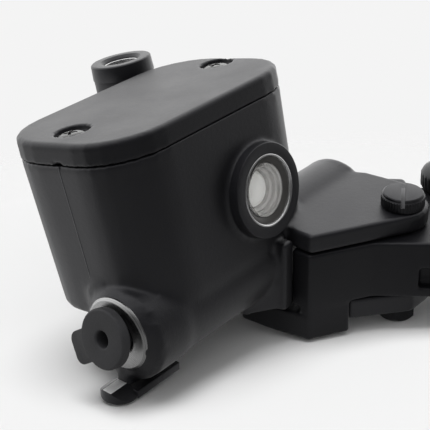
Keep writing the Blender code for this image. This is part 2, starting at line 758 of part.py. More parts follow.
def sight_glass(tilted, steel, glass, white, rubber):
    """Reflector, seal, lens and ring, stacked in the boss of the front wall."""
    place = (sight_x, 0, sight_height)
    seat = sight_seat
    outer = sight_ring_radius - gap / 2
    seal = turned("seal", [(sight_lens_radius - 0.2 * mm, seat + 1.1 * mm),
                           (outer - 0.2 * mm, seat + 1.1 * mm),
                           (outer, seat + 0.6 * mm), (outer - 0.2 * mm, seat + 0.1 * mm),
                           (sight_lens_radius - 0.2 * mm, seat + 0.1 * mm),
                           (sight_lens_radius - 0.4 * mm, seat + 0.6 * mm)],
                  tilted, place, towards_front, 30, closed=True)
    finish_part(seal, "sight_seal", rubber)
    inner = outer - sight_ring_width
    front = sight_front - 0.3 * mm
    ring = turned("ring", [(inner, front), (outer - 0.3 * mm, front),
                           (outer, front - 0.3 * mm), (outer, seat + 1.3 * mm),
                           (sight_lens_radius - 0.9 * mm, seat + 1.3 * mm),
                           (sight_lens_radius - 0.9 * mm, seat + 1.9 * mm),
                           (inner, seat + 1.9 * mm)],
                  tilted, place, towards_front, 40, closed=True)
    finish_part(ring, "sight_ring", steel)
    dome = 0.7 * mm
    lens_low = seat + 2.1 * mm
    lens_rim = front - 0.9 * mm
    profile = [(0, lens_rim + dome)]
    for step in range(1, 4):
        share = step / 3
        profile.append((sight_lens_radius * share, lens_rim + dome * (1 - share ** 2)))
    profile += [(sight_lens_radius, lens_low), (0, lens_low)]
    lens = turned("lens", profile, tilted, place, towards_front, 30)
    finish_part(lens, "sight_lens", glass)
    reflector = turned("reflector", [(0, seat - 0.4 * mm), (5.8 * mm, seat - 0.4 * mm),
                                     (6.3 * mm, seat - 0.9 * mm),
                                     (6.3 * mm, seat - 1.8 * mm), (0, seat - 1.8 * mm)],
                       tilted, place, towards_front, 32)
    finish_part(reflector, "sight_reflector", white)


# ---------------------------------------------------------------- handlebar clamp

def cap_seat():
    """How far back the clamp bolts' heads sit."""
    return bar_back + clamp_split / 2 + cap_lug_depth


def clamp_cap(tilted, paint):
    x, y, z = bar_place()
    half = clamp_width / 2
    cap = cylinder("cap", clamp_radius, -half, half, tilted, (x, y, z), along_x,
                   segments=48)
    rounded_rim(cap, 1.2 * mm, 2)
    lugs = lug_pair("cap_lugs", y - 8 * mm, cap_seat(), tilted)
    fuse(cap, lugs)
    front = box("body_side", (x - 2 * half, y - 40 * mm, z - 40 * mm),
                (x + 2 * half, y + clamp_split / 2, z + 40 * mm), tilted)
    bar = cylinder("cap_bore", bar_radius + 0.05 * mm, -half * 2, half * 2, tilted,
                   (x, y, z), along_x, segments=64)
    cut(cap, front, bar)
    for i, (px, pz) in enumerate(bolt_places()):
        hole = cylinder("cap_bolt_hole_%d" % i, clamp_bolt_radius + gap, 30 * mm,
                        80 * mm, tilted, (px, 0, pz), towards_rider, segments=24)
        spot_face = cylinder("spot_face_%d" % i, clamp_bolt_head_radius + slack,
                             cap_seat(), 80 * mm, tilted, (px, 0, pz),
                             towards_rider, segments=32)
        cut(cap, hole, spot_face)
    return finish_part(cap, "handlebar_clamp", paint)


def clamp_bolt(index, place, tilted, steel):
    """A cap screw with a hexagon socket, from the rider's side."""
    x, z = place
    seat = cap_seat() + 0.1 * mm
    top = seat + clamp_bolt_head_height
    end = 37.2 * mm
    radius = clamp_bolt_head_radius
    profile = [(0, top), (radius - 0.6 * mm, top), (radius, top - 0.6 * mm),
               (radius, seat), (clamp_bolt_radius, seat),
               (clamp_bolt_radius, end + 0.8 * mm), (clamp_bolt_radius - 0.8 * mm, end),
               (0, end)]
    bolt = turned("bolt", profile, tilted, (x, 0, z), towards_rider, segments=28)
    socket = cylinder("bolt_socket_%d" % index, 2.9 * mm, top - 3.2 * mm, top + 1 * mm,
                      tilted, (x, 0, z), towards_rider, segments=6)
    cut(bolt, socket)
    return finish_part(bolt, "clamp_bolt_%d" % (index + 1), steel)


# ---------------------------------------------------------------- hydraulics

def hydraulic_parts(datum, alloy, rubber, steel):
    """Piston, cups, spring, circlip, dust boot and push rod, on the bore's axis."""
    place = (0, 0, -barrel_drop)
    land = bore_radius - 0.1 * mm
    waist = 3.4 * mm
    back = circlip_x() - 0.1 * mm
    profile = [(0, back), (land - 0.5 * mm, back), (land, back - 0.5 * mm),
               (land, back - 3.2 * mm), (waist, back - 3.2 * mm),
               (waist, back - 6.4 * mm), (land, back - 6.4 * mm),
               (land, back - 8.4 * mm), (waist, back - 8.4 * mm),
               (waist, piston_front + 5.4 * mm), (land, piston_front + 5.4 * mm),
               (land, piston_front + 3.6 * mm), (waist, piston_front + 3.6 * mm),
               (waist, piston_front + 0.4 * mm), (waist - 0.4 * mm, piston_front),
               (0, piston_front)]
    piston = turned("turned_piston", profile, datum, place, along_x, segments=20)
    dimple = cylinder("rod_seat", rod_radius + gap, back - 2.0 * mm, back + 2 * mm,
                      datum, place, along_x, segments=20)
    cut(piston, dimple)
    finish_part(piston, "piston", alloy)
    for name, low, high in (
            ("primary_cup", piston_front + 0.5 * mm, piston_front + 3.3 * mm),
            ("secondary_cup", back - 6.1 * mm, back - 3.5 * mm)):
        lip = land - 0.1 * mm
        inner = waist + gap
        cup = turned(name, [(inner, high), (lip - 0.5 * mm, high),
                            (lip, low), (lip - 0.7 * mm, low),
                            (lip - 1.3 * mm, low + 1.3 * mm),
                            (inner, low + 1.3 * mm)],
                     datum, place, along_x, 20, closed=True)
        finish_part(cup, name, rubber)
    finish_part(return_spring(datum), "return_spring", steel)
    thick = circlip_thickness
    clip_place = (circlip_x(), 0, -barrel_drop)
    clip = turned("circlip_ring", [(5.2 * mm, thick), (8.0 * mm, thick), (8.0 * mm, 0),
                                   (5.2 * mm, 0)], datum, clip_place, along_x, 24,
                  closed=True)
    split = box("circlip_split", (-1.2 * mm, 0, -1 * mm), (1.2 * mm, 10 * mm, 2 * mm),
                datum, along_x, clip_place)
    cut(clip, split)
    finish_part(clip, "circlip", steel)
    finish_part(dust_boot(datum), "dust_boot", rubber)
    finish_part(push_rod(datum), "push_rod", steel)


def circlip_x():
    """The port side of the circlip, in its groove at the bore's mouth."""
    return mouth_x - seal_seat_depth + 0.4 * mm


def return_spring(datum):
    """A coil on the piston's nose, as long as it is when the lever is pulled."""
    start = piston_front - gap
    coil_radius = 2.6 * mm
    points_per_turn = 9
    curve = bpy.data.curves.new("spring", "CURVE")
    curve.dimensions = "3D"
    curve.bevel_depth = spring_wire
    curve.bevel_resolution = 2
    curve.use_fill_caps = True
    spline = curve.splines.new("POLY")
    count = spring_turns * points_per_turn
    pitch = spring_wire * 2 + 0.25 * mm
    spline.points.add(count)
    for i, point in enumerate(spline.points):
        angle = 2 * pi * i / points_per_turn
        along = start - spring_wire - pitch * i / points_per_turn
        point.co = (along, coil_radius * cos(angle), coil_radius * sin(angle), 1)
    mesh = curve_to_mesh("spring", curve)
    return new_object("spring", mesh, datum, (0, 0, -barrel_drop))


def dust_boot(datum):
    """A bellows between the bore's mouth and the push rod."""
    inner = rod_radius + 0.5 * mm
    start = circlip_x() + circlip_thickness + gap
    seat = seal_seat_radius - gap
    outside = [(inner, start + 5.6 * mm), (inner + 1.0 * mm, start + 5.6 * mm),
               (inner + 1.6 * mm, start + 4.4 * mm), (inner + 0.9 * mm, start + 3.6 * mm),
               (inner + 1.7 * mm, start + 2.7 * mm), (inner + 1.4 * mm, start + 1.9 * mm),
               (seat - 1.2 * mm, start + 1.2 * mm), (seat, start + 0.9 * mm),
               (seat, start), (seat - 1.6 * mm, start)]
    inside = [(seat - 1.8 * mm, start + 0.4 * mm), (inner + 0.4 * mm, start + 1.0 * mm),
              (inner, start + 2.2 * mm)]
    return turned("boot", outside + inside, datum, (0, 0, -barrel_drop), along_x, 20,
                  closed=True)


def push_rod(datum):
    head_face = cam_x - cam_radius - gap
    head_back = head_face - rod_head_thickness
    tip = circlip_x() - 1.8 * mm
    profile = [(0, head_face), (rod_head_radius - 0.5 * mm, head_face),
               (rod_head_radius, head_face - 0.5 * mm),
               (rod_head_radius - 1.0 * mm, head_back), (rod_radius, head_back),
               (rod_radius, tip + 0.5 * mm), (rod_radius - 0.6 * mm, tip), (0, tip)]
    return turned("rod", profile, datum, (0, 0, -barrel_drop), along_x, segments=28)


def port_plug(datum, rubber):
    """The shipping plug, pushed a little askew into the port, with its pull tab."""
    plug_tilt = radians(13.0)
    tab_angle = radians(133.0)
    disc = [(2.8 * mm, 0.0), (7.2 * mm, 0.0), (7.65 * mm, -0.5 * mm),
            (7.65 * mm, -2.3 * mm), (7.2 * mm, -2.7 * mm), (4.0 * mm, -2.7 * mm),
            (3.6 * mm, -9.5 * mm), (3.1 * mm, -10.0 * mm), (2.8 * mm, -10.0 * mm)]
    place = (-5.2 * mm, -0.1 * mm, 1.4 * mm)
    turn = (0, -pi / 2 + plug_tilt, radians(-4))
    plug = turned("plug", disc, datum, place, turn, 30, closed=True)
    tab_outline = rounded_outline([(5.0 * mm, -4.2 * mm, 0), (11.6 * mm, -4.2 * mm, 3.4 * mm),
                                   (11.6 * mm, 4.2 * mm, 3.4 * mm),
                                   (5.0 * mm, 4.2 * mm, 0)], 5)
    tab = flat_solid("plug_tab", tab_outline, -2.4 * mm, -0.1 * mm, datum, turn, place)
    tab.data.transform(Matrix.Rotation(tab_angle, 4, "Z"))
    fuse(plug, tab)
    return finish_part(plug, "port_plug", rubber)


# ---------------------------------------------------------------- lever

def blade_curve(datum):
    """The finger blade: an oval section swept out to the ball end."""
    path = [(100 * mm, -37 * mm, -3.0 * mm, 0.98), (116 * mm, -40 * mm, -2.8 * mm, 1.0),
            (134 * mm, -43.5 * mm, -2.0 * mm, 1.02), (152 * mm, -45.5 * mm, -2.8 * mm, 0.98),
            (170 * mm, -45.5 * mm, -4.4 * mm, 0.92), (188 * mm, -43.5 * mm, -5.2 * mm, 0.86),
            (206 * mm, -40 * mm, -5.4 * mm, 0.82), (blade_end - 6 * mm, -36 * mm, -5.4 * mm, 0.8)]
    section = bpy.data.curves.new("section", "CURVE")
    section.dimensions = "2D"
    oval = section.splines.new("POLY")
    sides = 12
    oval.points.add(sides - 1)
    for i, point in enumerate(oval.points):
        angle = 2 * pi * i / sides
        point.co = (blade_depth / 2 * cos(angle), blade_height / 2 * sin(angle), 0, 1)
    oval.use_cyclic_u = True
    guide = bpy.data.objects.new("blade_section", section)
    bpy.context.scene.collection.objects.link(guide)
    curve = bpy.data.curves.new("blade", "CURVE")
    curve.dimensions = "3D"
    curve.twist_mode = "Z_UP"
    curve.bevel_mode = "OBJECT"
    curve.bevel_object = guide
    curve.use_fill_caps = True
    curve.resolution_u = 3
    curve.render_resolution_u = 3
    spline = curve.splines.new("NURBS")
    spline.points.add(len(path) - 1)
    for point, (x, y, z, scale) in zip(spline.points, path):
        point.co = (x, y, z, 1)
        point.radius = scale
    spline.use_endpoint_u = True
    spline.order_u = 4
    mesh = curve_to_mesh("blade", curve)
    bpy.data.objects.remove(guide)
    return new_object("blade", mesh, datum)


def front_point(along):
    """A point in plan on the lever's front face, past its bend."""
    return (front_bend_x + along * cos(front_turn), front_bend_y + along * sin(front_turn))


def lever_root_outline():
    """Plan of the lever's root, from the inboard block round the adjuster."""
    return rounded_outline([(block_left, block_front, 0.8 * mm),
                            (front_bend_x, front_bend_y, 7.0 * mm),
                            (*front_point(front_length), 5.0 * mm),
                            (112.0 * mm, -45.4 * mm, 20.0 * mm),
                            (144.0 * mm, -46.0 * mm, 1.0 * mm),
                            (144.0 * mm, -43.4 * mm, 1.0 * mm),
                            (126.5 * mm, -37.5 * mm, 14.0 * mm),
                            (119.5 * mm, -18.0 * mm, 8.0 * mm),
                            (111.5 * mm, -19.6 * mm, 3.0 * mm),
                            (105.4 * mm, -24.6 * mm, 3.0 * mm),
                            (104.9 * mm, -17.6 * mm, 1.2 * mm),
                            (107.6 * mm, -14.2 * mm, 1.4 * mm),
                            (104.2 * mm, -9.2 * mm, 1.4 * mm),
                            (98.0 * mm, -11.0 * mm, 2.0 * mm),
                            (96.0 * mm, -17.0 * mm, 3.0 * mm),
                            (86.0 * mm, -15.5 * mm, 4.0 * mm),
                            (66.0 * mm, -12.0 * mm, 3.0 * mm),
                            (block_left, -12.6 * mm, 0.8 * mm)], 5)


def lever_block_outline():
    """Plan of the full-height part: inboard block, front skirt and hub."""
    return rounded_outline([(block_left, block_front, 0.8 * mm),
                            (front_bend_x, front_bend_y, 7.0 * mm),
                            (*front_point(front_length), 5.0 * mm),
                            (98.0 * mm, -45.6 * mm, 4.0 * mm),
                            (98.6 * mm, -33.0 * mm, 6.0 * mm),
                            (94.6 * mm, -18.5 * mm, 8.0 * mm),
                            (80.0 * mm, -17.5 * mm, 4.0 * mm),
                            (66.0 * mm, -12.0 * mm, 3.0 * mm),
                            (block_left, -12.6 * mm, 0.8 * mm)], 5)


def foot_outline():
    """Plan of the foot that reaches under the barrel to the brake light switch."""
    return rounded_outline([(block_left, block_front, 0.8 * mm),
                            (65.4 * mm, -25.1 * mm, 0.6 * mm),
                            (65.4 * mm, -4.0 * mm, 3.0 * mm),
                            (62.5 * mm, 3.2 * mm, 2.0 * mm),
                            (51.6 * mm, 3.2 * mm, 1.5 * mm),
                            (52.4 * mm, -8.0 * mm, 8.0 * mm)], 4)


def brake_lever(datum, paint):
    lever = flat_solid("root", lever_root_outline(), shroud_bottom, lever_top, datum)
    rounded_rim(lever, 0.8 * mm, 2, 60)
    block = flat_solid("block", lever_block_outline(), lever_bottom,
                       lever_top - 0.6 * mm, datum)
    foot = flat_solid("foot", foot_outline(), foot_bottom, foot_top, datum)
    rounded_rim(foot, 0.6 * mm, 2, 60)
    neck_outline = rounded_outline([(block_left, block_front, 0.8 * mm),
                                    (65.4 * mm, -25.1 * mm, 0.6 * mm),
                                    (65.4 * mm, -15.2 * mm, 1.0 * mm),
                                    (block_left, -15.2 * mm, 0.8 * mm)], 3)
    neck = flat_solid("neck", neck_outline, foot_bottom + 1.5 * mm, lever_bottom + 1 * mm,
                      datum)
    blade = blade_curve(datum)
    ball = turned("ball", [(ball_radius * 0.8 * sin(pi * i / 8),
                            ball_radius * 0.8 * cos(pi * i / 8)) for i in range(9)],
                  datum, (blade_end - 6 * mm, -36 * mm, -5.4 * mm), segments=16)
    fuse(lever, block, foot, neck, blade, ball)
    bush = cylinder("bush_hole", bush_radius + 0.05 * mm, -30 * mm, 20 * mm, datum,
                    (pivot_x, pivot_y, 0), segments=32)
    arm_slot = push_arm_form("arm_slot", slack, arm_bottom - gap, arm_top + gap, datum)
    axle = cylinder("wheel_axle_hole", 2.6 * mm, -20 * mm, 20 * mm, datum,
                    (wheel_x, wheel_y, 0), segments=20)
    pocket = box("front_pocket", (0, -20 * mm, pocket_bottom),
                 (pocket_width, pocket_depth, pocket_top), datum,
                 rotation=(0, 0, front_turn), location=(*front_point(pocket_along), 0))
    rounded_rim(pocket, 0.8 * mm, 2)
    cut(lever, bush, arm_slot, axle, pocket)
    pivot_origin(lever)
    return finish_part(use_manifold_solver(lever), "brake_lever", paint)


def push_arm_form(name, spread, low, high, datum):
    """Two belts from the pivot's hub, to the cam and to the adjuster."""
    hub = (pivot_x, pivot_y, arm_hub_radius)
    cam = (cam_x, cam_y, cam_radius)
    heel = (103.6 * mm, -20.4 * mm, 3.0 * mm)
    form = flat_solid(name, belt_outline(hub, cam, spread), low, high, datum)
    tail = flat_solid(name + "_tail", belt_outline(hub, heel, spread), low + 0.01 * mm,
                      high - 0.01 * mm, datum)
    return fuse(form, tail)


def push_arm(datum, alloy):
    """The arm that turns the lever's pull into the piston's push."""
    arm = push_arm_form("arm", 0.0, arm_bottom, arm_top, datum)
    hole = cylinder("arm_hole", bush_radius + 0.05 * mm, -30 * mm, 20 * mm, datum,
                    (pivot_x, pivot_y, 0), segments=32)
    cut(arm, hole)
    pivot_origin(arm)
    return finish_part(arm, "push_arm", alloy)


def pivot_origin(obj):
    """Move a shape's origin onto the lever's pivot axis."""
    obj.data.transform(Matrix.Translation((-pivot_x, -pivot_y, 0)))
    obj.location = (pivot_x, pivot_y, 0)


def pivot_parts(datum, steel, brass):
    """Slotted pivot bolt, its bush and the nut under the lower ear."""
    place = (pivot_x, pivot_y, 0)
    head = ear_top + 0.1 * mm
    top = head + pivot_head_height
    bottom = lower_ear_bottom - nut_height - 0.4 * mm
    thread = pivot_radius - 0.3 * mm
    profile = [(0, top), (pivot_head_radius - 0.5 * mm, top),
               (pivot_head_radius - 0.2 * mm, top - 0.4 * mm),
               (pivot_head_radius, head), (pivot_radius, head),
               (pivot_radius, lower_ear_bottom + 0.5 * mm),
               (thread, lower_ear_bottom),
               (thread, bottom + 0.5 * mm), (thread - 0.5 * mm, bottom), (0, bottom)]
    bolt = turned("pivot", profile, datum, place, segments=36)
    slot = box("pivot_slot", (-8 * mm, -pivot_slot / 2, top - 1.5 * mm),
               (8 * mm, pivot_slot / 2, top + 1 * mm), datum,
               rotation=(0, 0, pivot_slot_turn), location=place)
    cut(bolt, slot)
    finish_part(bolt, "pivot_bolt", steel)
    bush = turned("bush", [(pivot_radius + 0.05 * mm, lever_top - 0.2 * mm),
                           (bush_radius - 0.05 * mm, lever_top - 0.2 * mm),
                           (bush_radius - 0.05 * mm, lever_bottom + 0.2 * mm),
                           (pivot_radius + 0.05 * mm, lever_bottom + 0.2 * mm)],
                  datum, place, segments=28, closed=True)
    finish_part(bush, "pivot_bush", brass)
    nut_top = lower_ear_bottom - 0.1 * mm
    nut = cylinder("nut", nut_corner, nut_top - nut_height, nut_top,
                   datum, place, segments=6)
    crown = turned("nut_crown", [(0, nut_top + 1 * mm), (nut_corner + 1 * mm, nut_top + 1 * mm),
                                 (nut_corner + 1 * mm, nut_top - nut_height + 2.4 * mm),
                                 (nut_flats / 2 - 0.3 * mm, nut_top - nut_height - 0.2 * mm),
                                 (0, nut_top - nut_height - 0.2 * mm)], datum, place,
                   segments=36)
    keep_common(nut, crown)
    hole = cylinder("nut_hole", thread + 0.05 * mm, -40 * mm, 0, datum, place, segments=28)
    cut(nut, hole)
    finish_part(nut, "pivot_nut", steel)


# ---------------------------------------------------------------- adjuster

def adjuster(datum, plastic, steel):
    """A scalloped wheel on the lever; its shaft ends in a cam against the arm."""
    low = lever_top + 0.3 * mm
    high = low + wheel_height
    place = (wheel_x, wheel_y, 0)
    dome = 1.2 * mm
    profile = [(0, high), (wheel_radius * 0.5, high - dome * 0.2),
               (wheel_radius * 0.82, high - dome * 0.7), (wheel_radius, high - dome * 1.6),
               (wheel_radius, low + 0.6 * mm), (wheel_radius - 0.6 * mm, low), (0, low)]
    wheel = turned("wheel", profile, datum, place, segments=36)
    scallops = []
    for i in range(wheel_scallops):
        angle = 2 * pi * i / wheel_scallops
        reach = wheel_radius + 0.75 * mm
        scallops.append(cylinder("scallop_%02d" % i, 1.3 * mm, low - 1 * mm,
                                 high - dome * 0.9, datum,
                                 (wheel_x + reach * cos(angle),
                                  wheel_y + reach * sin(angle), 0), segments=8))
    ring = scallops[0]
    fuse(ring, *scallops[1:])
    cut(wheel, ring)
    shaft = cylinder("wheel_shaft_hole", 2.1 * mm, low - 1 * mm, low + 3.5 * mm, datum,
                     place, segments=16)
    cut(wheel, shaft)
    finish_part(wheel, "adjuster_wheel", plastic)
    bottom = shroud_bottom - 1.2 * mm
    pin_profile = [(0, low + 3.2 * mm), (1.8 * mm, low + 3.2 * mm),
                   (1.8 * mm, lever_top), (2.3 * mm, lever_top),
                   (2.3 * mm, bottom), (0, bottom)]
    pin = turned("wheel_pin", pin_profile, datum, place, segments=20)
    finish_part(pin, "adjuster_pin", steel)


# ---------------------------------------------------------------- brake switch

def switch_screw_place():
    return (switch_x + 5.2 * mm, switch_y + 8.0 * mm, 0)


def brake_switch(datum, plastic, steel, brass):
    """A micro switch under the clamp's bridge; the lever's foot holds it in."""
    sx, sy, sz = switch_size
    low = switch_top - sz
    case = box("switch_case", (switch_x - sx / 2, switch_y, low),
               (switch_x + sx / 2, switch_y + sy, switch_top - 0.3 * mm), datum)
    rounded_rim(case, 0.7 * mm, 2)
    x, y, _ = switch_screw_place()
    hole = cylinder("case_hole", 1.8 * mm, low - 1 * mm, switch_top + 1 * mm, datum,
                    (x, y, 0), segments=20)
    plunger_hole = cylinder("plunger_hole", plunger_radius + gap, -1 * mm, 5.0 * mm,
                            datum, (switch_x, switch_y, switch_top - sz / 2),
                            towards_rider, segments=20)
    cut(case, hole, plunger_hole)
    finish_part(case, "brake_switch", plastic)
    plunger = turned("plunger", [(0, 4.4 * mm), (plunger_radius, 4.4 * mm),
                                 (plunger_radius, -0.7 * mm),
                                 (plunger_radius - 0.6 * mm, -1.4 * mm), (0, -1.5 * mm)],
                     datum, (switch_x, switch_y, switch_top - sz / 2), towards_rider, 20)
    finish_part(plunger, "switch_plunger", brass)
    screw = turned("case_screw", [(0, switch_top + 6 * mm), (1.5 * mm, switch_top + 6 * mm),
                                  (1.5 * mm, low - 0.1 * mm), (2.9 * mm, low - 0.1 * mm),
                                  (2.9 * mm, low - 1.2 * mm), (2.2 * mm, low - 1.9 * mm),
                                  (0, low - 1.9 * mm)],
                   datum, (x, y, 0), segments=20)
    cross = box("case_screw_slot", (-4 * mm, -0.4 * mm, low - 3 * mm),
                (4 * mm, 0.4 * mm, low - 1.0 * mm), datum, location=(x, y, 0),
                rotation=(0, 0, radians(25)))
    cut(screw, cross)
    finish_part(screw, "switch_screw", steel)
    for i, side in enumerate((-1, 1)):
        blade = box("blade_%d" % i, (switch_x + side * 3.6 * mm - 1.4 * mm,
                                     switch_y + sy + 0.1 * mm, low + 3.0 * mm),
                    (switch_x + side * 3.6 * mm + 1.4 * mm,
                     switch_y + sy + 5.6 * mm, low + 3.7 * mm), datum)
        finish_part(blade, "switch_terminal_%d" % (i + 1), brass)


# ---------------------------------------------------------------- assembly

def build():
    clear_scene()
    lean = reservoir_tilt
    x, y, z = bar_place()
    bar_y = y * cos(lean) + z * sin(lean)
    bar_z = -y * sin(lean) + z * cos(lean)
    datum = frame_empty("port_datum", (-x, -bar_y, -bar_z))
    tilted = frame_empty("reservoir_datum", (0, 0, 0), datum, -lean)

    black_paint = material("black_powder_coat", (0.018, 0.018, 0.020), 0.48, 0.0)
    lever_paint = material("black_anodised", (0.014, 0.014, 0.016), 0.42, 0.3)
    zinc = material("zinc_plated_steel", (0.62, 0.62, 0.60), 0.35, 1.0)
    black_steel = material("black_steel", (0.05, 0.05, 0.055), 0.40, 1.0)
    alloy = material("bare_aluminium", (0.72, 0.73, 0.74), 0.38, 1.0)
    brass = material("brass", (0.60, 0.44, 0.18), 0.38, 1.0)
    rubber = material("black_rubber", (0.022, 0.022, 0.024), 0.75, 0.0)
    plastic = material("black_plastic", (0.020, 0.020, 0.022), 0.50, 0.0)
    pale_plastic = material("white_plastic", (0.80, 0.80, 0.78), 0.45, 0.0)
    glass = material("clear_lens", (0.90, 0.92, 0.93), 0.05, 0.0)

    body_casting(datum, tilted, black_paint)
    reservoir_cover(tilted, black_paint)
    for i, place in enumerate(cover_screws):
        cover_screw(i, place, tilted, zinc)
    diaphragm(tilted, rubber)
    diaphragm_plate(tilted, pale_plastic)
    sight_glass(tilted, alloy, glass, pale_plastic, rubber)
    clamp_cap(tilted, black_paint)
    for i, place in enumerate(bolt_places()):
        clamp_bolt(i, place, tilted, black_steel)
    hydraulic_parts(datum, alloy, rubber, zinc)
    port_plug(datum, rubber)
    brake_lever(datum, lever_paint)
    push_arm(datum, alloy)
    pivot_parts(datum, black_steel, brass)
    adjuster(datum, plastic, zinc)
    brake_switch(datum, plastic, zinc, brass)


build()
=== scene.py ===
import json
from math import atan2, cos, pi, radians, sin

import bmesh
import bpy
from mathutils import Matrix, Vector

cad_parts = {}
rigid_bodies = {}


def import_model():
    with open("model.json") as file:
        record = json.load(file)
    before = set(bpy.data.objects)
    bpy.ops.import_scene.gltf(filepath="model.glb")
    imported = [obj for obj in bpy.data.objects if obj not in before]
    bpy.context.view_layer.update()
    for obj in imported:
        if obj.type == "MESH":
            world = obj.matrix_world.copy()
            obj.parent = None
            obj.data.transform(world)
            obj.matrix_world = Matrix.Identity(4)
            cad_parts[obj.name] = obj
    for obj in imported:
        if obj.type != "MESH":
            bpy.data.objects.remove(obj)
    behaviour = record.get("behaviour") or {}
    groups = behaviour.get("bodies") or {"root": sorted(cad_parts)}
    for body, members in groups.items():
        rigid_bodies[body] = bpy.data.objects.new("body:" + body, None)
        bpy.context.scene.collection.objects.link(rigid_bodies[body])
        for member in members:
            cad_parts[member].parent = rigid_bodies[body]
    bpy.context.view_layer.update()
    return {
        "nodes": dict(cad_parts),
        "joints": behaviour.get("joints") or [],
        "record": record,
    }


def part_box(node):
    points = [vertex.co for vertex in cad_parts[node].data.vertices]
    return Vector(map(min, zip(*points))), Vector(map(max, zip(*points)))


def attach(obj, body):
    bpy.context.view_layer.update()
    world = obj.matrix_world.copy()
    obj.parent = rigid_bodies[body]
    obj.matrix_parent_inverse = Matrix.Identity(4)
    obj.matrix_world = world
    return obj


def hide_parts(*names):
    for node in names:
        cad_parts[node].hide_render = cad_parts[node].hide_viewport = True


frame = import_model()
mm = 0.001
cadNodes = frame["nodes"]
mounts = {mount["name"]: mount for mount in frame["record"]["mounts"]}
joints = {joint["name"]: joint for joint in frame["joints"]}
print("frame loaded:", len(cadNodes), "nodes")

# the barrel keeps the frame's directions, the reservoir leans back with its own
alongBar = Vector((1, 0, 0))
tankUp = Vector(mounts["mirror_boss_top"]["axis"]).normalized()
tankBack = tankUp.cross(alongBar)
pivot = Vector(joints["lever_pivot"]["pos_m"])
layout = {"portToPivot": (84.1, -28.0, 0), "sight": (47.0, 0, 20.2), "mirror": (62.0, 44.0, 50.4)}
portCentre = pivot - Vector(layout["portToPivot"]) * mm
portFrame = Matrix.Translation(portCentre)
tankFrame = portFrame @ Matrix((alongBar, tankBack, tankUp)).transposed().to_4x4()
wheelAxis = Vector(joints["adjuster_turn"]["pos_m"])
turnToFront = Matrix.Rotation(pi / 2, 4, "X")        # local +Z to -Y
sightSpot = Matrix.Translation([length * mm for length in layout["sight"]])
sightFrame = tankFrame @ sightSpot @ turnToFront
mirrorFrame = tankFrame @ Matrix.Translation(Vector(layout["mirror"]) * mm)
turnToPort = Matrix.Rotation(-pi / 2, 4, "Y")        # local +Z to -X


# modelling helpers: sizes are in millimetres, matrices in metres
def selectOnly(piece):
    bpy.ops.object.select_all(action="DESELECT")
    piece.select_set(True)
    bpy.context.view_layer.objects.active = piece


def settle(piece, place=Matrix()):
    # put the piece's place into its mesh, so its object stays at the origin
    piece.data.transform(place @ piece.matrix_basis)
    piece.matrix_basis = Matrix()
    piece.data.update()
    return piece


def applyAll(piece):
    selectOnly(piece)
    for modifier in list(piece.modifiers):
        bpy.ops.object.modifier_apply(modifier=modifier.name)
    return piece


def cleanShape(piece, reach=0.000004):
    selectOnly(piece)
    bpy.ops.object.mode_set(mode="EDIT")
    bpy.ops.mesh.select_all(action="SELECT")
    bpy.ops.mesh.remove_doubles(threshold=reach)
    bpy.ops.mesh.normals_make_consistent(inside=False)
    bpy.ops.object.mode_set(mode="OBJECT")
    return piece


def roundEdges(piece, width, segments=3, angle=35):
    bevel = piece.modifiers.new("roundEdges", "BEVEL")
    bevel.width = width * mm
    bevel.segments = segments
    bevel.limit_method = "ANGLE"
    bevel.angle_limit = radians(angle)
    bevel.use_clamp_overlap = True
    return applyAll(piece)


def smoothShade(piece, angle=38):
    selectOnly(piece)
    bpy.ops.object.shade_smooth_by_angle(angle=radians(angle))
    return piece


def turnPiece(name, profile, sides=64):
    # a circle drawn out ring by ring through (radius, height) points in millimetres
    bpy.ops.object.select_all(action="DESELECT")
    radius, height = profile[0]
    radius = max(radius, 0.001)
    bpy.ops.mesh.primitive_circle_add(vertices=sides, radius=radius * mm)
    piece = bpy.context.object
    piece.name = name
    bpy.ops.object.mode_set(mode="EDIT")
    bpy.ops.mesh.select_all(action="SELECT")
    bpy.ops.transform.translate(value=(0, 0, height * mm))
    for nextRadius, nextHeight in profile[1:]:
        nextRadius = max(nextRadius, 0.001)
        bpy.ops.mesh.extrude_edges_move(
            TRANSFORM_OT_translate={"value": (0, 0, (nextHeight - height) * mm)})
        grow = nextRadius / radius
        bpy.ops.transform.resize(value=(grow, grow, 1), center_override=(0, 0, 0))
        radius, height = nextRadius, nextHeight
    bpy.ops.object.mode_set(mode="OBJECT")
    return cleanShape(piece)


def blockPiece(name, size, centre, rotation=(0, 0, 0)):
    bpy.ops.object.select_all(action="DESELECT")
    bpy.ops.mesh.primitive_cube_add(size=1, location=[c * mm for c in centre], rotation=rotation)
    piece = bpy.context.object
    piece.name = name
    piece.scale = [s * mm for s in size]
    return piece


def blockBetween(name, low, high):
    size = [b - a for a, b in zip(low, high)]
    centre = [(a + b) / 2 for a, b in zip(low, high)]
    return blockPiece(name, size, centre)


def cutWith(piece, tool, keepTool=False, solver="EXACT"):
    cut = piece.modifiers.new("cut", "BOOLEAN")
    cut.operation = "DIFFERENCE"
    cut.solver = solver
    cut.object = tool
    applyAll(piece)
    if not keepTool:
        bpy.data.objects.remove(tool)
    return piece


def joinPieces(target, others):
    selectOnly(target)
    for other in others:
        other.select_set(True)
    bpy.ops.object.join()
    return target


def copyPiece(piece, name):
    twin = piece.copy()
    twin.data = piece.data.copy()
    twin.name = name
    bpy.context.collection.objects.link(twin)
    return twin


def ringOf(tool, count):
    # copies of the tool set evenly round +Z, joined into one
    twins = []
    for step in range(1, count):
        twin = copyPiece(tool, "%s%02d" % (tool.name, step))
        twin.data.transform(Matrix.Rotation(2 * pi * step / count, 4, "Z"))
        twins.append(twin)
    return joinPieces(tool, twins)


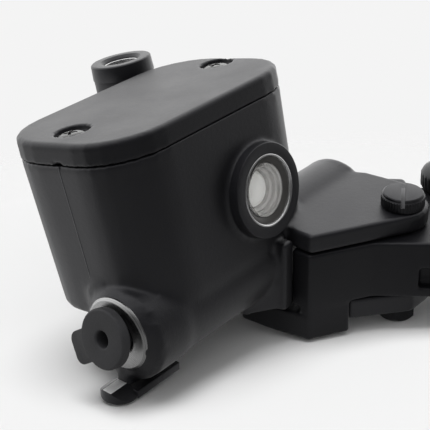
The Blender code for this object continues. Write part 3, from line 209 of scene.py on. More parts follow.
def selectParts(piece, kind, wanted):
    # edit mode, with only those edges or faces selected that pass the test
    selectOnly(piece)
    bpy.ops.object.mode_set(mode="EDIT")
    bpy.ops.mesh.select_all(action="DESELECT")
    shape = bmesh.from_edit_mesh(piece.data)
    for part in getattr(shape, kind):
        if wanted(part):
            part.select_set(True)
    bmesh.update_edit_mesh(piece.data)


def addSmooth(piece, name, passes, group=""):
    smooth = piece.modifiers.new(name, "SMOOTH")
    smooth.vertex_group = group
    smooth.factor = 0.5
    smooth.iterations = passes


def softCast(node, name, settings, trims=(), extras=()):
    # the node's own shape with rounded cast edges and filled inner corners
    piece = copyPiece(cadNodes[node], name)
    piece.parent = None
    piece.matrix_world = Matrix()
    cleanShape(piece, 0.000001)
    for trim in trims:
        cutWith(piece, trim, solver="MANIFOLD")
    if extras:
        joinPieces(piece, extras)
    skin = piece.modifiers.new("skin", "REMESH")
    skin.mode = "VOXEL"
    skin.voxel_size = settings["voxel"] * mm
    applyAll(piece)
    inward, steep = -radians(settings["cornerAngle"]), radians(settings["wallAngle"])
    selectParts(piece, "edges", lambda edge: edge.calc_face_angle_signed(0) < inward)
    for _ in range(settings["cornerReach"]):
        bpy.ops.mesh.select_more()
    corners = piece.vertex_groups.new(name="innerCorners")
    bpy.ops.object.vertex_group_assign()
    bpy.ops.object.mode_set(mode="OBJECT")
    addSmooth(piece, "fillCorners", settings["cornerPasses"], corners.name)
    applyAll(piece)
    # long curved walls lose their facets, sharp edges are left out
    selectParts(piece, "edges", lambda edge: abs(edge.calc_face_angle_signed(0)) > steep)
    for _ in range(3):
        bpy.ops.mesh.select_more()
    bpy.ops.mesh.select_all(action="INVERT")
    walls = piece.vertex_groups.new(name="walls")
    piece.vertex_groups.active = walls
    bpy.ops.object.vertex_group_assign()
    bpy.ops.object.mode_set(mode="OBJECT")
    addSmooth(piece, "blurFacets", settings["wallPasses"], walls.name)
    addSmooth(piece, "relax", settings["edgePasses"])
    applyAll(piece)
    triangles = 2 * len(piece.data.polygons)
    if triangles > settings["most"]:
        thin = piece.modifiers.new("thin", "DECIMATE")
        thin.ratio = settings["most"] / triangles
        applyAll(piece)
    piece.vertex_groups.clear()
    piece.data.materials.clear()
    for polygon in piece.data.polygons:
        polygon.use_smooth = True
    return piece


def place(piece, body, finish, slot=None, replaces=()):
    piece.data.materials.clear()
    piece.data.materials.append(finish)
    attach(piece, body)
    if replaces:
        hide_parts(*replaces)
    return piece


class Wire:
    # a socket that adds Math nodes when it is used in an expression
    def __init__(self, tree, socket):
        self.tree = tree
        self.socket = socket

    def node(self, kind, settings, values, output=0):
        made = self.tree.nodes.new(kind)
        for key, value in settings.items():
            if key == "stops":
                ramp = made.color_ramp
                ramp.elements[0].position, shade = value[0]
                ramp.elements[0].color = (shade, shade, shade, 1)
                ramp.elements[1].position, shade = value[-1]
                ramp.elements[1].color = (shade, shade, shade, 1)
                for position, shade in value[1:-1]:
                    ramp.elements.new(position).color = (shade, shade, shade, 1)
            else:
                setattr(made, key, value)
        for key, value in values.items():
            if isinstance(value, Wire):
                self.tree.links.new(value.socket, made.inputs[key])
            else:
                made.inputs[key].default_value = value
        return Wire(self.tree, made.outputs[output])

    def math(self, operation, first, second):
        return self.node("ShaderNodeMath", {"operation": operation}, {0: first, 1: second})

    def __add__(self, other):
        return self.math("ADD", self, other)

    def __radd__(self, other):
        return self.math("ADD", other, self)

    def __sub__(self, other):
        return self.math("SUBTRACT", self, other)

    def __rsub__(self, other):
        return self.math("SUBTRACT", other, self)

    def __mul__(self, other):
        return self.math("MULTIPLY", self, other)

    def ramp(self, *stops):
        return self.node("ShaderNodeValToRGB", {"stops": stops}, {"Fac": self}, "Color")

    def noise(self, scale, detail=3.0, roughness=0.55):
        return self.node("ShaderNodeTexNoise", {},
                         {"Vector": self, "Scale": scale, "Detail": detail,
                          "Roughness": roughness}, "Fac")

    def feed(self, shader, socket):
        self.tree.links.new(self.socket, shader.inputs[socket])


def newFinish(name, settings):
    finish = bpy.data.materials.new(name)
    finish.use_nodes = True
    tree = finish.node_tree
    shader = tree.nodes["Principled BSDF"]
    shader.inputs["Base Color"].default_value = (*settings["colour"], 1)
    shader.inputs["Roughness"].default_value = settings["roughness"]
    shader.inputs["Metallic"].default_value = settings.get("metallic", 0.0)
    for socket, value in settings.get("sockets", {}).items():
        shader.inputs[socket].default_value = value
    finish.diffuse_color = (*settings["colour"], 1)
    where = Wire(tree, tree.nodes.new("ShaderNodeTexCoord").outputs["Object"])
    return finish, shader, where


def blendColours(where, amount, first, second):
    return where.node("ShaderNodeMix", {"data_type": "RGBA"},
                      {"Factor": amount, 6: (*first, 1), 7: (*second, 1)}, 2)


def bumpFrom(where, shader, height, strength, distance):
    bump = where.node("ShaderNodeBump", {}, {"Height": height, "Strength": strength,
                                             "Distance": distance}, "Normal")
    bump.feed(shader, "Normal")


def grainyCoat(name, settings):
    # sprayed and baked black coat: fine orange peel, cloudy sheen, convex edges made brighter by a
    # painted highlight
    finish, shader, where = newFinish(name, settings)
    peel = where.noise(settings["peelScale"], 2.0)
    grain = where.noise(settings["grainScale"], 3.0, 0.65)
    clouds = where.noise(settings["cloudScale"], 4.0)
    # convex edges are mixed towards the pale colour: a painted highlight along the edges
    edges = where.node("ShaderNodeNewGeometry", {}, {}, "Pointiness")
    edges = edges.ramp((0.50, 0.0), (0.60, 1.0))
    tone = (clouds * 0.6 + grain * 0.4).ramp((0.35, 0.0), (0.68, 1.0))
    colour = blendColours(where, tone * 0.8 + edges * settings["edgeWear"],
                          settings["colour"], settings["paleColour"])
    colour.feed(shader, "Base Color")
    gloss = settings["roughness"] + (clouds - 0.5) * 0.16 + (grain - 0.5) * 0.10 - edges * 0.08
    gloss.feed(shader, "Roughness")
    bumpFrom(where, shader, peel * 0.55 + grain * 0.45, settings["bump"], 0.00012)
    return finish


def turnedMetal(name, settings, centre, axis):
    # lathe marks: rings round an axis through centre
    finish, shader, where = newFinish(name, settings)
    turn = Vector((0, 0, 1)).rotation_difference(Vector(axis)).inverted().to_matrix()
    local = where.node("ShaderNodeVectorMath", {"operation": "SUBTRACT"},
                       {0: where, 1: tuple(centre)})
    spun = where.node("ShaderNodeMapping", {"vector_type": "POINT"},
                      {"Vector": local, "Rotation": tuple(turn.to_euler())})
    rings = where.node("ShaderNodeTexWave", {"wave_type": "RINGS", "rings_direction": "Z"},
                       {"Vector": spun, "Scale": settings["ringScale"], "Distortion": 0.6,
                        "Detail": 2.0, "Detail Scale": 3.0}, "Fac")
    smudge = where.noise(260, 4.0)
    tone = rings * 0.5 + smudge * 0.5
    blendColours(where, tone, settings["colour"], settings["paleColour"]).feed(shader, "Base Color")
    (settings["roughness"] + (rings - 0.5) * 0.14 + (smudge - 0.5) * 0.18).feed(shader, "Roughness")
    bumpFrom(where, shader, rings, 0.25, 0.00004)
    return finish


def speckledMetal(name, settings):
    # plated or blackened steel: a fine crystal grain and dull patches
    finish, shader, where = newFinish(name, settings)
    grain = where.noise(settings["grainScale"], 3.0, 0.7)
    patches = where.noise(settings["patchScale"], 4.0)
    tone = (grain * 0.45 + patches * 0.55).ramp((0.30, 0.0), (0.72, 1.0))
    blendColours(where, tone, settings["colour"], settings["paleColour"]).feed(shader, "Base Color")
    gloss = settings["roughness"] + (patches - 0.5) * 0.22 + (grain - 0.5) * 0.10
    gloss.feed(shader, "Roughness")
    bumpFrom(where, shader, grain, settings["bump"], 0.00006)
    return finish


def mouldedSkin(name, settings):
    # rubber and plastic: spark-eroded mould grain over slow flow marks
    finish, shader, where = newFinish(name, settings)
    pits = where.node("ShaderNodeTexVoronoi", {"feature": "F1"},
                      {"Vector": where, "Scale": settings["pitScale"]}, "Distance")
    flow = where.noise(settings["flowScale"], 3.0)
    fine = where.noise(settings["pitScale"] * 1.7, 2.0)
    tone = (flow * 0.7 + fine * 0.3).ramp((0.32, 0.0), (0.70, 1.0))
    blendColours(where, tone, settings["colour"], settings["paleColour"]).feed(shader, "Base Color")
    (settings["roughness"] + (flow - 0.5) * 0.18 + (pits - 0.4) * 0.08).feed(shader, "Roughness")
    bumpFrom(where, shader, pits * 0.6 + fine * 0.4, settings["bump"], 0.00008)
    return finish


coolTint = (0.985, 0.985, 1.02, 1)
# each coat's edge amount sets the strength of its painted edge highlight
castCoat = grainyCoat("castBlackCoat", {
    "colour": (0.0045, 0.0045, 0.0054), "paleColour": (0.0085, 0.0085, 0.0100),
    "roughness": 0.43, "peelScale": 950, "grainScale": 2900, "cloudScale": 60,
    "edgeWear": 0.9, "bump": 0.55,
    "sockets": {"Specular IOR Level": 0.57, "Specular Tint": coolTint}})
# a lighter black for the parting line's ridge: a painted highlight
partingRidgeHighlightCoat = grainyCoat("wornBlackCoat", {
    "colour": (0.045, 0.045, 0.048), "paleColour": (0.085, 0.085, 0.090),
    "roughness": 0.45, "peelScale": 950, "grainScale": 2900, "cloudScale": 60,
    "edgeWear": 0.3, "bump": 0.2, "sockets": {"Specular IOR Level": 0.5}})
coverCoat = grainyCoat("coverBlackCoat", {
    "colour": (0.0050, 0.0050, 0.0058), "paleColour": (0.0090, 0.0090, 0.0104),
    "roughness": 0.42, "peelScale": 1100, "grainScale": 3100, "cloudScale": 70,
    "edgeWear": 0.7, "bump": 0.45,
    "sockets": {"Specular IOR Level": 0.43, "Specular Tint": coolTint}})
leverCoat = grainyCoat("leverBlackCoat", {
    "colour": (0.0034, 0.0034, 0.0041), "paleColour": (0.0062, 0.0062, 0.0074),
    "roughness": 0.38, "peelScale": 700, "grainScale": 2500, "cloudScale": 45,
    "edgeWear": 0.9, "bump": 0.35,
    "sockets": {"Specular IOR Level": 0.38, "Specular Tint": coolTint}})
blackSteel = speckledMetal("blackenedSteel", {
    "colour": (0.020, 0.020, 0.022), "paleColour": (0.055, 0.055, 0.058),
    "roughness": 0.36, "metallic": 0.85, "grainScale": 2600, "patchScale": 180, "bump": 0.25})
zincPlate = speckledMetal("zincPlate", {
    "colour": (0.34, 0.34, 0.35), "paleColour": (0.60, 0.60, 0.58),
    "roughness": 0.32, "metallic": 1.0, "grainScale": 2200, "patchScale": 150, "bump": 0.2})
brightSteel = speckledMetal("brightSteel", {
    "colour": (0.55, 0.55, 0.56), "paleColour": (0.80, 0.80, 0.80),
    "roughness": 0.22, "metallic": 1.0, "grainScale": 3000, "patchScale": 220, "bump": 0.12})
castAlloy = speckledMetal("plainAlloy", {
    "colour": (0.46, 0.46, 0.47), "paleColour": (0.66, 0.67, 0.68),
    "roughness": 0.38, "metallic": 1.0, "grainScale": 1700, "patchScale": 120, "bump": 0.25})
brassMetal = speckledMetal("plainBrass", {
    "colour": (0.46, 0.32, 0.11), "paleColour": (0.66, 0.49, 0.21),
    "roughness": 0.34, "metallic": 1.0, "grainScale": 1800, "patchScale": 150, "bump": 0.15})
blackRubber = mouldedSkin("blackRubber", {
    "colour": (0.017, 0.017, 0.0185), "paleColour": (0.031, 0.031, 0.033),
    "roughness": 0.60, "pitScale": 2100, "flowScale": 190, "bump": 0.30,
    "sockets": {"Specular IOR Level": 0.35}})
blackPlastic = mouldedSkin("blackPlastic", {
    "colour": (0.008, 0.008, 0.009), "paleColour": (0.016, 0.016, 0.017),
    "roughness": 0.42, "pitScale": 2400, "flowScale": 130, "bump": 0.22,
    "sockets": {"Specular IOR Level": 0.40}})
palePlastic = mouldedSkin("palePlastic", {
    "colour": (0.84, 0.84, 0.82), "paleColour": (0.95, 0.95, 0.93),
    "roughness": 0.36, "pitScale": 1900, "flowScale": 110, "bump": 0.12})
smokedPlastic = mouldedSkin("smokedPlastic", {
    "colour": (0.030, 0.029, 0.028), "paleColour": (0.055, 0.053, 0.050),
    "roughness": 0.30, "pitScale": 2400, "flowScale": 130, "bump": 0.12})
greyPlastic = speckledMetal("greyPlastic", {
    "colour": (0.27, 0.265, 0.255), "paleColour": (0.44, 0.43, 0.415),
    "roughness": 0.20, "metallic": 0.35, "grainScale": 2600, "patchScale": 300, "bump": 0.1})
screwSteel = speckledMetal("screwSteel", {
    "colour": (0.055, 0.055, 0.055), "paleColour": (0.13, 0.13, 0.127),
    "roughness": 0.22, "metallic": 1.0, "grainScale": 2400, "patchScale": 300, "bump": 0.12})
# a pale finish for the painted highlight strip on the hook's tongue
dullAlloy = speckledMetal("dullAlloy", {
    "colour": (0.66, 0.66, 0.66), "paleColour": (0.88, 0.88, 0.88),
    "roughness": 0.38, "metallic": 0.25, "grainScale": 2400, "patchScale": 260, "bump": 0.2})
portMetal = turnedMetal("machinedPort", {
    "colour": (0.30, 0.30, 0.30), "paleColour": (0.50, 0.50, 0.50),
    "roughness": 0.34, "metallic": 1.0, "ringScale": 900}, portCentre, (-1, 0, 0))


def clearLens(name, settings):
    # clear moulded plastic with faint haze and hairline marks
    finish, shader, where = newFinish(name, settings)
    haze = where.noise(300, 4.0)
    hairs = where.noise(2400, 2.0, 0.7)
    (settings["roughness"] + (haze - 0.4) * 0.05).feed(shader, "Roughness")
    bumpFrom(where, shader, hairs, 0.05, 0.00003)
    return finish


lensPlastic = clearLens("clearPlastic", {
    "colour": (0.99, 0.99, 0.985), "roughness": 0.04,
    "sockets": {"Transmission Weight": 0.96, "IOR": 1.46}})
print("finishes made")


hookSettings = {
    "tip": -5.0, "root": 17.0, "side": 4.95, "low": -17.9, "toe": 0.5,
    "rim": -15.6, "trayStart": 1.2, "trayDepth": 0.9, "trayWall": 0.85, "trayEnd": 0.7,
    "openFrom": 0.6, "openTo": 4.6, "openSide": 1.4, "top": -14.5, "halfTop": 1.6,
    "shoulder": -17.1, "back": 1.6, "trayRound": 0.32, "tongueRound": 0.35}
noseSettings = {"radius": 4.9, "back": 7.0, "up": 7.0, "from": 2.9, "to": 14.0}
# what leaves the casting: low and high corners round the hook, and the mirror boss's top
roomSettings = {"ledge": ((-8, -6, -20.4), (17.2, 6, -15.4)),
                "tongue": ((-8, -6, -20.1), (0.7, 6, -10.5)),
                "mirrorTop": 3.0, "mirrorRadius": 10}
castBodySettings = {"voxel": 0.45, "cornerAngle": 14, "cornerReach": 3, "cornerPasses": 24,
                    "wallAngle": 15, "wallPasses": 70, "edgePasses": 2, "most": 190000}


def castTrims():
    # room for the crisp hook, and the mirror boss without its top
    room = roomSettings
    ledge = settle(blockBetween("ledgeRoom", *room["ledge"]), portFrame)
    tongue = settle(blockBetween("tongueRoom", *room["tongue"]), portFrame)
    low, high, radius = -room["mirrorTop"], 3, room["mirrorRadius"]
    boss = turnPiece("bossRoom", [(0, low), (radius, low), (radius, high), (0, high)], 32)
    return [ledge, tongue, settle(boss, mirrorFrame)]


def hookCasting():
    # a shallow tray under the barrel that ends in a round tongue with sloping shoulders
    hook = hookSettings
    side, low, rim, top = hook["side"], hook["low"], hook["rim"], hook["top"]
    start, root, back = hook["trayStart"], hook["root"], hook["back"]
    inner, floor = side - hook["trayWall"], rim - hook["trayDepth"]
    tray = settle(blockBetween("hookCasting", (start, -side, low), (root, side, rim)))
    hollow = blockBetween("trayRoom", (start + hook["trayEnd"], -inner, floor),
                          (root - hook["trayEnd"], inner, floor + 2))
    cutWith(tray, settle(hollow))
    corner = blockBetween("cornerRoom", (hook["openFrom"], hook["openSide"], low - 2),
                          (hook["openTo"], hook["openSide"] + 6, low + 4))
    cutWith(tray, settle(corner))
    roundEdges(tray, hook["trayRound"], 3, 40)
    tongue = turnPiece("tongue", [(0, low), (side - hook["toe"], low), (side, low + hook["toe"]),
                                  (side, top), (0, top)], 56)
    settle(tongue, Matrix.Translation(((hook["tip"] + side) * mm, 0, 0)))
    behind = blockBetween("behindTongue", (back, -7, low - 2), (back + 12, 7, low + 10))
    cutWith(tongue, settle(behind))
    slope = atan2(top - hook["shoulder"], side - hook["halfTop"])
    for turn in (1, -1):
        shoulder = settle(blockPiece("shoulderRoom", (16, 9, 3), (0, turn * 4.5, 1.5)))
        lean = Matrix.Translation((0, turn * hook["halfTop"] * mm, top * mm)) \
            @ Matrix.Rotation(-turn * slope, 4, "X")
        cutWith(tongue, settle(shoulder, lean))
    roundEdges(tongue, hook["tongueRound"], 3, 20)
    joinPieces(tray, [tongue])
    smoothShade(tray, 40)
    return settle(tray, portFrame)


def castNose():
    # the lump over the port where the parting line ends
    radius, start = noseSettings["radius"], noseSettings["from"]
    length = noseSettings["to"] - start
    nose = turnPiece("nose", [(0, 0), (radius - 1.4, 0), (radius - 0.4, -0.35), (radius, -1.3),
                              (radius, -length), (0, -length)], 48)
    spot = Matrix.Translation((start * mm, noseSettings["back"] * mm, noseSettings["up"] * mm))
    return settle(nose, tankFrame @ spot @ turnToPort)


castBody = softCast("body_casting", "castBody", castBodySettings, castTrims(), [castNose()])

# softening narrows the bore, so it is bored out again for the piston's stroke
boreSettings = {"clearance": 0.28, "stroke": 10.0, "behind": 14.0, "blindEnd": 15.1, "sides": 72}
pistonLow, pistonHigh = (Vector(corner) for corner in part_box("piston"))
boreRadius = (pistonHigh.z - pistonLow.z) / 2 / mm + boreSettings["clearance"]
boreEnd = max(pistonLow.x / mm - boreSettings["stroke"],
              portCentre.x / mm + boreSettings["blindEnd"])
boreMouth = pistonHigh.x / mm + boreSettings["behind"]
boreTool = turnPiece("boreTool", [(0, boreEnd), (boreRadius, boreEnd), (boreRadius, boreMouth),
                                  (0, boreMouth)], boreSettings["sides"])
boreAxis = Matrix.Translation((0, (pistonLow.y + pistonHigh.y) / 2,
                               (pistonLow.z + pistonHigh.z) / 2))
settle(boreTool, boreAxis @ Matrix.Rotation(pi / 2, 4, "Y"))
cutWith(castBody, boreTool, solver="MANIFOLD")
place(castBody, "casting", castCoat, "black_powder_coat", ["body_casting"])
print("casting softened:", len(castBody.data.polygons))
place(hookCasting(), "casting", castCoat, "black_powder_coat")

# a pale strip on the tongue's top: a painted highlight where its lit facet shows bright
tongueHighlightSettings = {"from": -4.7, "to": 1.2, "half": 1.45, "sunk": 0.23, "proud": 0.07, "round": 0.12}
tongueHighlightStrip = blockBetween(
    "hookBareStrip",
    (tongueHighlightSettings["from"], -tongueHighlightSettings["half"], hookSettings["top"] - tongueHighlightSettings["sunk"]),
    (tongueHighlightSettings["to"], tongueHighlightSettings["half"], hookSettings["top"] + tongueHighlightSettings["proud"]))
settle(tongueHighlightStrip)
roundEdges(tongueHighlightStrip, tongueHighlightSettings["round"], 2)
smoothShade(tongueHighlightStrip)
settle(tongueHighlightStrip, portFrame)
place(tongueHighlightStrip, "casting", dullAlloy, "bare_aluminium")

# crisp rims on the cast bosses; profiles are (radius, height) points
rimSettings = {
    "sightBossRim": {
        "profile": [(9.45, 15.85), (9.45, 15.95), (12.2, 15.95), (12.36, 15.79), (12.62, 9.6),
                    (11.5, 9.6), (11.5, 15.0), (9.45, 15.85)],
        "sides": 112, "round": 0.06, "frame": sightFrame},
    "mirrorBossTop": {
        "profile": [(5.0, -0.85), (5.95, 0.0), (8.4, 0.0), (8.75, -0.3), (8.95, -4.4),
                    (5.0, -4.4), (5.0, -0.85)],
        "sides": 96, "round": 0.08, "frame": mirrorFrame}}
for name, rim in rimSettings.items():
    rimPiece = turnPiece(name, rim["profile"], rim["sides"])
    roundEdges(rimPiece, rim["round"], 2, 25)
    smoothShade(rimPiece, 30)
    settle(rimPiece, rim["frame"])
    place(rimPiece, "casting", castCoat, "black_powder_coat")

threadSettings = {"floor": -2.4, "crest": 4.78, "root": 5.02, "pitch": 0.30, "turns": 5,
                  "low": -4.0}


def mirrorThread():
    # the bright thread and floor in the mirror boss
    floor, pitch = threadSettings["floor"], threadSettings["pitch"]
    crest, root, low = threadSettings["crest"], threadSettings["root"], threadSettings["low"]
    profile = [(0, floor + 0.1), (3.2, floor)]
    for turn in range(threadSettings["turns"]):
        height = floor + pitch * turn
        profile += [(crest, height - 0.05), (root, height + 0.10)]
    profile += [(root + 0.03, low), (0, low)]
    thread = turnPiece("mirrorThread", profile, 72)
    smoothShade(thread, 30)
    return settle(thread, mirrorFrame)


place(mirrorThread(), "casting", brightSteel, "bare_aluminium")

# the die's parting line runs down the end wall to the nose, its ridge painted lighter as a painted
# highlight
partingSettings = {"size": (0.6, 0.32, 31.0), "centre": (3.44, 8.9, 26.6), "draft": 2.0,
                   "round": 0.12}
partingLine = blockPiece("castPartingLine", partingSettings["size"], partingSettings["centre"],
                         (0, radians(-partingSettings["draft"]), 0))
settle(partingLine)
roundEdges(partingLine, partingSettings["round"], 3)
smoothShade(partingLine, 60)
settle(partingLine, tankFrame)
place(partingLine, "casting", partingRidgeHighlightCoat, "black_powder_coat")
print("hook and rims made")

coverSettings = {"voxel": 0.40, "cornerAngle": 20, "cornerReach": 1, "cornerPasses": 3,
                 "wallAngle": 16, "wallPasses": 80, "edgePasses": 3, "most": 120000}
coverLid = softCast("reservoir_cover", "coverLid", coverSettings)
place(coverLid, "casting", coverCoat, "black_powder_coat", ["reservoir_cover"])

clampSettings = {"voxel": 0.5, "cornerAngle": 14, "cornerReach": 2, "cornerPasses": 8,
                 "wallAngle": 11, "wallPasses": 12, "edgePasses": 3, "most": 60000}
clampCap = softCast("handlebar_clamp", "clampCap", clampSettings)
place(clampCap, "casting", castCoat, "black_powder_coat", ["handlebar_clamp"])

leverSettings = {"voxel": 0.40, "cornerAngle": 14, "cornerReach": 2, "cornerPasses": 8,
                 "wallAngle": 11, "wallPasses": 24, "edgePasses": 2, "most": 140000}
leverPiece = softCast("brake_lever", "leverPiece", leverSettings)
place(leverPiece, "lever", leverCoat, "black_anodised", ["brake_lever"])
print("cover, clamp and lever softened")


screwSettings = {"headRadius": 3.9, "headTop": 47.3, "headLow": 43.6, "shank": 1.95, "tip": 1.4,
                 "shankLength": 14.5, "length": 15.2, "cross": 4.4, "crossWidth": 1.05,
                 "crossDepth": 2.2, "crossHeight": 3.0, "crossTaper": 0.42, "round": 0.08,
                 "turns": (38, 12)}
screwPlaces = []
for nodeName in ("cover_screw_1", "cover_screw_2"):
    low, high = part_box(nodeName)
    middle = tankFrame.inverted() @ ((Vector(low) + Vector(high)) / 2)
    screwPlaces.append((middle.x / mm, middle.y / mm))


def coverScrew(name, spot, turn):
    top, low, radius = (screwSettings[k] for k in ("headTop", "headLow", "headRadius"))
    shank, tip = screwSettings["shank"], screwSettings["tip"]
    neck, end = low - screwSettings["shankLength"], low - screwSettings["length"]
    head = turnPiece(name, [(0, top), (radius * 0.50, top - 0.10), (radius * 0.80, top - 0.36),
                            (radius * 0.96, top - 0.72), (radius, top - 1.1),
                            (radius - 0.1, top - 1.5), (shank, low), (shank, neck),
                            (tip, end), (0, end)], 56)
    height, taper = screwSettings["crossHeight"], screwSettings["crossTaper"]
    for step in (0, 90):
        blade = blockPiece("blade", (screwSettings["cross"], screwSettings["crossWidth"], height),
                           (0, 0, top - screwSettings["crossDepth"] + height / 2),
                           (0, 0, radians(turn + step)))
        selectParts(blade, "faces", lambda face: face.normal.z < -0.9)
        bpy.ops.transform.resize(value=(taper, taper, 1), center_override=(0, 0, 0))
        bpy.ops.object.mode_set(mode="OBJECT")
        cutWith(head, blade)
    roundEdges(head, screwSettings["round"], 2, 30)
    smoothShade(head)
    return settle(head, tankFrame @ Matrix.Translation((spot[0] * mm, spot[1] * mm, 0)))


for number, (spot, turn) in enumerate(zip(screwPlaces, screwSettings["turns"]), 1):
    screw = coverScrew("coverScrewHead%d" % number, spot, turn)
    place(screw, "casting", screwSteel, "zinc_plated_steel", ["cover_screw_%d" % number])
print("cover screws made")


sightSettings = {"front": 15.9, "ring": 9.4, "sides": 96, "round": 0.07}


def sightPiece(name, profile, finish, slot, replaces=()):
    # profile points are (radius, height over the boss's face)
    front = sightSettings["front"]
    piece = turnPiece(name, [(r, front + h) for r, h in profile], sightSettings["sides"])
    roundEdges(piece, sightSettings["round"], 2, 30)
    smoothShade(piece, 30)
    settle(piece, sightFrame)
    return place(piece, "casting", finish, slot, replaces)


ring = sightSettings["ring"]
sightPiece("sightBezel",
           [(ring - 0.75, -0.50), (ring - 0.62, -0.05), (ring - 0.35, 0.18), (ring - 0.05, 0.10),
            (ring + 0.08, -0.2), (ring, -2.6), (ring - 0.75, -2.6), (ring - 0.75, -0.50)],
           brightSteel, "bare_aluminium", ["sight_ring"])
sightPiece("sightWell",
           [(ring - 0.65, -0.75), (ring - 0.65, -3.0), (7.1, -3.0), (7.1, -1.5), (7.45, -1.35),
            (ring - 0.8, -0.75), (ring - 0.65, -0.75)],
           smokedPlastic, "black_rubber", ["sight_seal"])
sightPiece("sightLens",
           [(0, -1.02), (4.0, -1.05), (6.4, -1.12), (7.0, -1.3), (7.0, -1.9), (6.3, -2.0),
            (0, -2.0)],
           lensPlastic, "clear_lens", ["sight_lens"])
sightPiece("sightSteps",
           [(7.05, -2.1), (6.85, -1.95), (6.35, -2.1), (6.25, -3.1), (6.0, -3.0), (5.6, -3.15),
            (5.5, -4.2), (5.2, -4.1), (4.6, -4.3), (4.45, -5.4), (4.0, -5.5), (4.0, -6.4),
            (7.05, -6.4), (7.05, -2.1)],
           greyPlastic, "black_plastic", ["sight_reflector"])
sightPiece("sightFloor", [(0, -4.9), (3.4, -4.95), (4.35, -5.2), (4.35, -6.3), (0, -6.3)],
           palePlastic, "white_plastic")
print("sight glass made")


portSettings = {"inner": 5.7, "face": 9.33, "chamfer": 0.42, "throat": 0.9, "proud": 0.10,
                "low": -1.4, "sides": 96, "round": 0.06}
inner, face, proud, skirt = (portSettings[k] for k in ("inner", "face", "proud", "low"))
outer, throat = face + portSettings["chamfer"], inner - portSettings["throat"]
portRing = turnPiece("portRing", [(inner, proud), (face - 0.25, proud), (face, -0.12),
                                  (outer, -0.6), (outer, skirt), (throat, skirt),
                                  (throat, -0.9), (inner, proud)], portSettings["sides"])
roundEdges(portRing, portSettings["round"], 2, 25)
smoothShade(portRing, 30)
settle(portRing, portFrame @ turnToPort)
place(portRing, "casting", portMetal, "bare_aluminium")

plugSettings = {
    "centre": (-5.2, -0.1, 1.4), "tilt": 13, "yaw": -4, "radius": 7.65, "thick": 2.7,
    "hole": 2.15, "neck": 3.7, "end": -9.9, "round": 0.16, "tabAngle": 126, "tabStart": 4.6,
    "tabReach": 11.3, "tabWidth": 8.6, "tabTop": -0.1, "tabLow": -2.4, "tabRound": 2.3,
    "tabEdge": 0.3}


def portPlug():
    radius, thick, hole = (plugSettings[k] for k in ("radius", "thick", "hole"))
    neck, end, halfWidth = plugSettings["neck"], plugSettings["end"], plugSettings["tabWidth"] / 2
    plug = turnPiece("portPlugRubber", [(hole, -0.35), (hole + 0.35, 0.0), (radius - 0.45, 0.0),
                                        (radius, -0.45), (radius, -thick + 0.3),
                                        (radius - 0.4, -thick), (neck + 0.3, -thick),
                                        (neck, end + 0.5), (neck - 0.5, end), (hole, end),
                                        (hole, -0.35)], 72)
    roundEdges(plug, plugSettings["round"], 3, 30)
    tab = blockBetween("tab", (plugSettings["tabStart"], -halfWidth, plugSettings["tabLow"]),
                       (plugSettings["tabReach"], halfWidth, plugSettings["tabTop"]))
    settle(tab)

    def outerCorner(edge):
        start, stop = (vertex.co for vertex in edge.verts)
        return abs(start.z - stop.z) > mm and start.x > (plugSettings["tabStart"] + 0.4) * mm

    selectParts(tab, "edges", outerCorner)
    bpy.ops.mesh.bevel(offset=plugSettings["tabRound"] * mm, segments=7)
    bpy.ops.object.mode_set(mode="OBJECT")
    roundEdges(tab, plugSettings["tabEdge"], 3, 50)
    tab.data.transform(Matrix.Rotation(radians(plugSettings["tabAngle"]), 4, "Z"))
    weld = plug.modifiers.new("weld", "BOOLEAN")
    weld.operation = "UNION"
    weld.solver = "EXACT"
    weld.object = tab
    applyAll(plug)
    bpy.data.objects.remove(tab)
    cleanShape(plug)
    smoothShade(plug, 38)
    turn = Matrix.Rotation(radians(plugSettings["yaw"]), 4, "Z") \
        @ Matrix.Rotation(-pi / 2 + radians(plugSettings["tilt"]), 4, "Y")
    centre = Vector(plugSettings["centre"]) * mm
    return settle(plug, portFrame @ Matrix.Translation(centre) @ turn)


place(portPlug(), "casting", blackRubber, "black_rubber", ["port_plug"])
print("port and plug made")


boltSettings = {"radius": 6.05, "height": 4.0, "cap": 5.55, "shank": 2.95, "thread": 2.7,
                "threadLength": 6.0, "slot": 1.15, "slotDepth": 2.1, "slotTurn": 31,
                "teeth": 44, "toothRadius": 0.30, "toothOut": 0.02, "round": 0.07}


def pivotBolt():
    low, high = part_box("pivot_bolt")
    bottom, top = low[2] / mm, high[2] / mm
    under = top - boltSettings["height"]
    rim, cap = boltSettings["radius"] - 0.05, boltSettings["cap"]
    shank, thread = boltSettings["shank"], boltSettings["thread"]
    neck = bottom + boltSettings["threadLength"]
    bolt = turnPiece("pivotBoltHead", [(0, top), (cap - 0.3, top), (cap, top - 0.25),
                                       (cap, top - 0.8), (rim, top - 1.1), (rim, under + 0.35),
                                       (rim - 0.30, under), (shank, under), (shank, neck + 0.4),
                                       (thread, neck), (thread, bottom + 0.5),
                                       (thread - 0.5, bottom), (0, bottom)], 88)
    tooth = boltSettings["toothRadius"]
    tool = turnPiece("knurlTool", [(0, under - 1), (tooth, under - 1), (tooth, top - 0.9),
                                   (0, top - 0.9)], 6)
    out = boltSettings["radius"] + boltSettings["toothOut"]
    tool.data.transform(Matrix.Translation((out * mm, 0, 0)))
    cutWith(bolt, ringOf(tool, boltSettings["teeth"]))
    blade = blockPiece("slotTool", (16, boltSettings["slot"], 3.0),
                       (0, 0, top + 1.5 - boltSettings["slotDepth"]),
                       (0, 0, radians(boltSettings["slotTurn"])))
    cutWith(bolt, blade)
    roundEdges(bolt, boltSettings["round"], 2, 32)
    smoothShade(bolt, 32)
    return settle(bolt, Matrix.Translation((pivot.x, pivot.y, 0)))


place(pivotBolt(), "casting", blackSteel, "black_steel", ["pivot_bolt"])

wheelSettings = {"radius": 8.5, "dome": 1.3, "scallops": 30, "scallopRadius": 0.62,
                 "scallopOut": 0.32, "twist": 10, "round": 0.12}


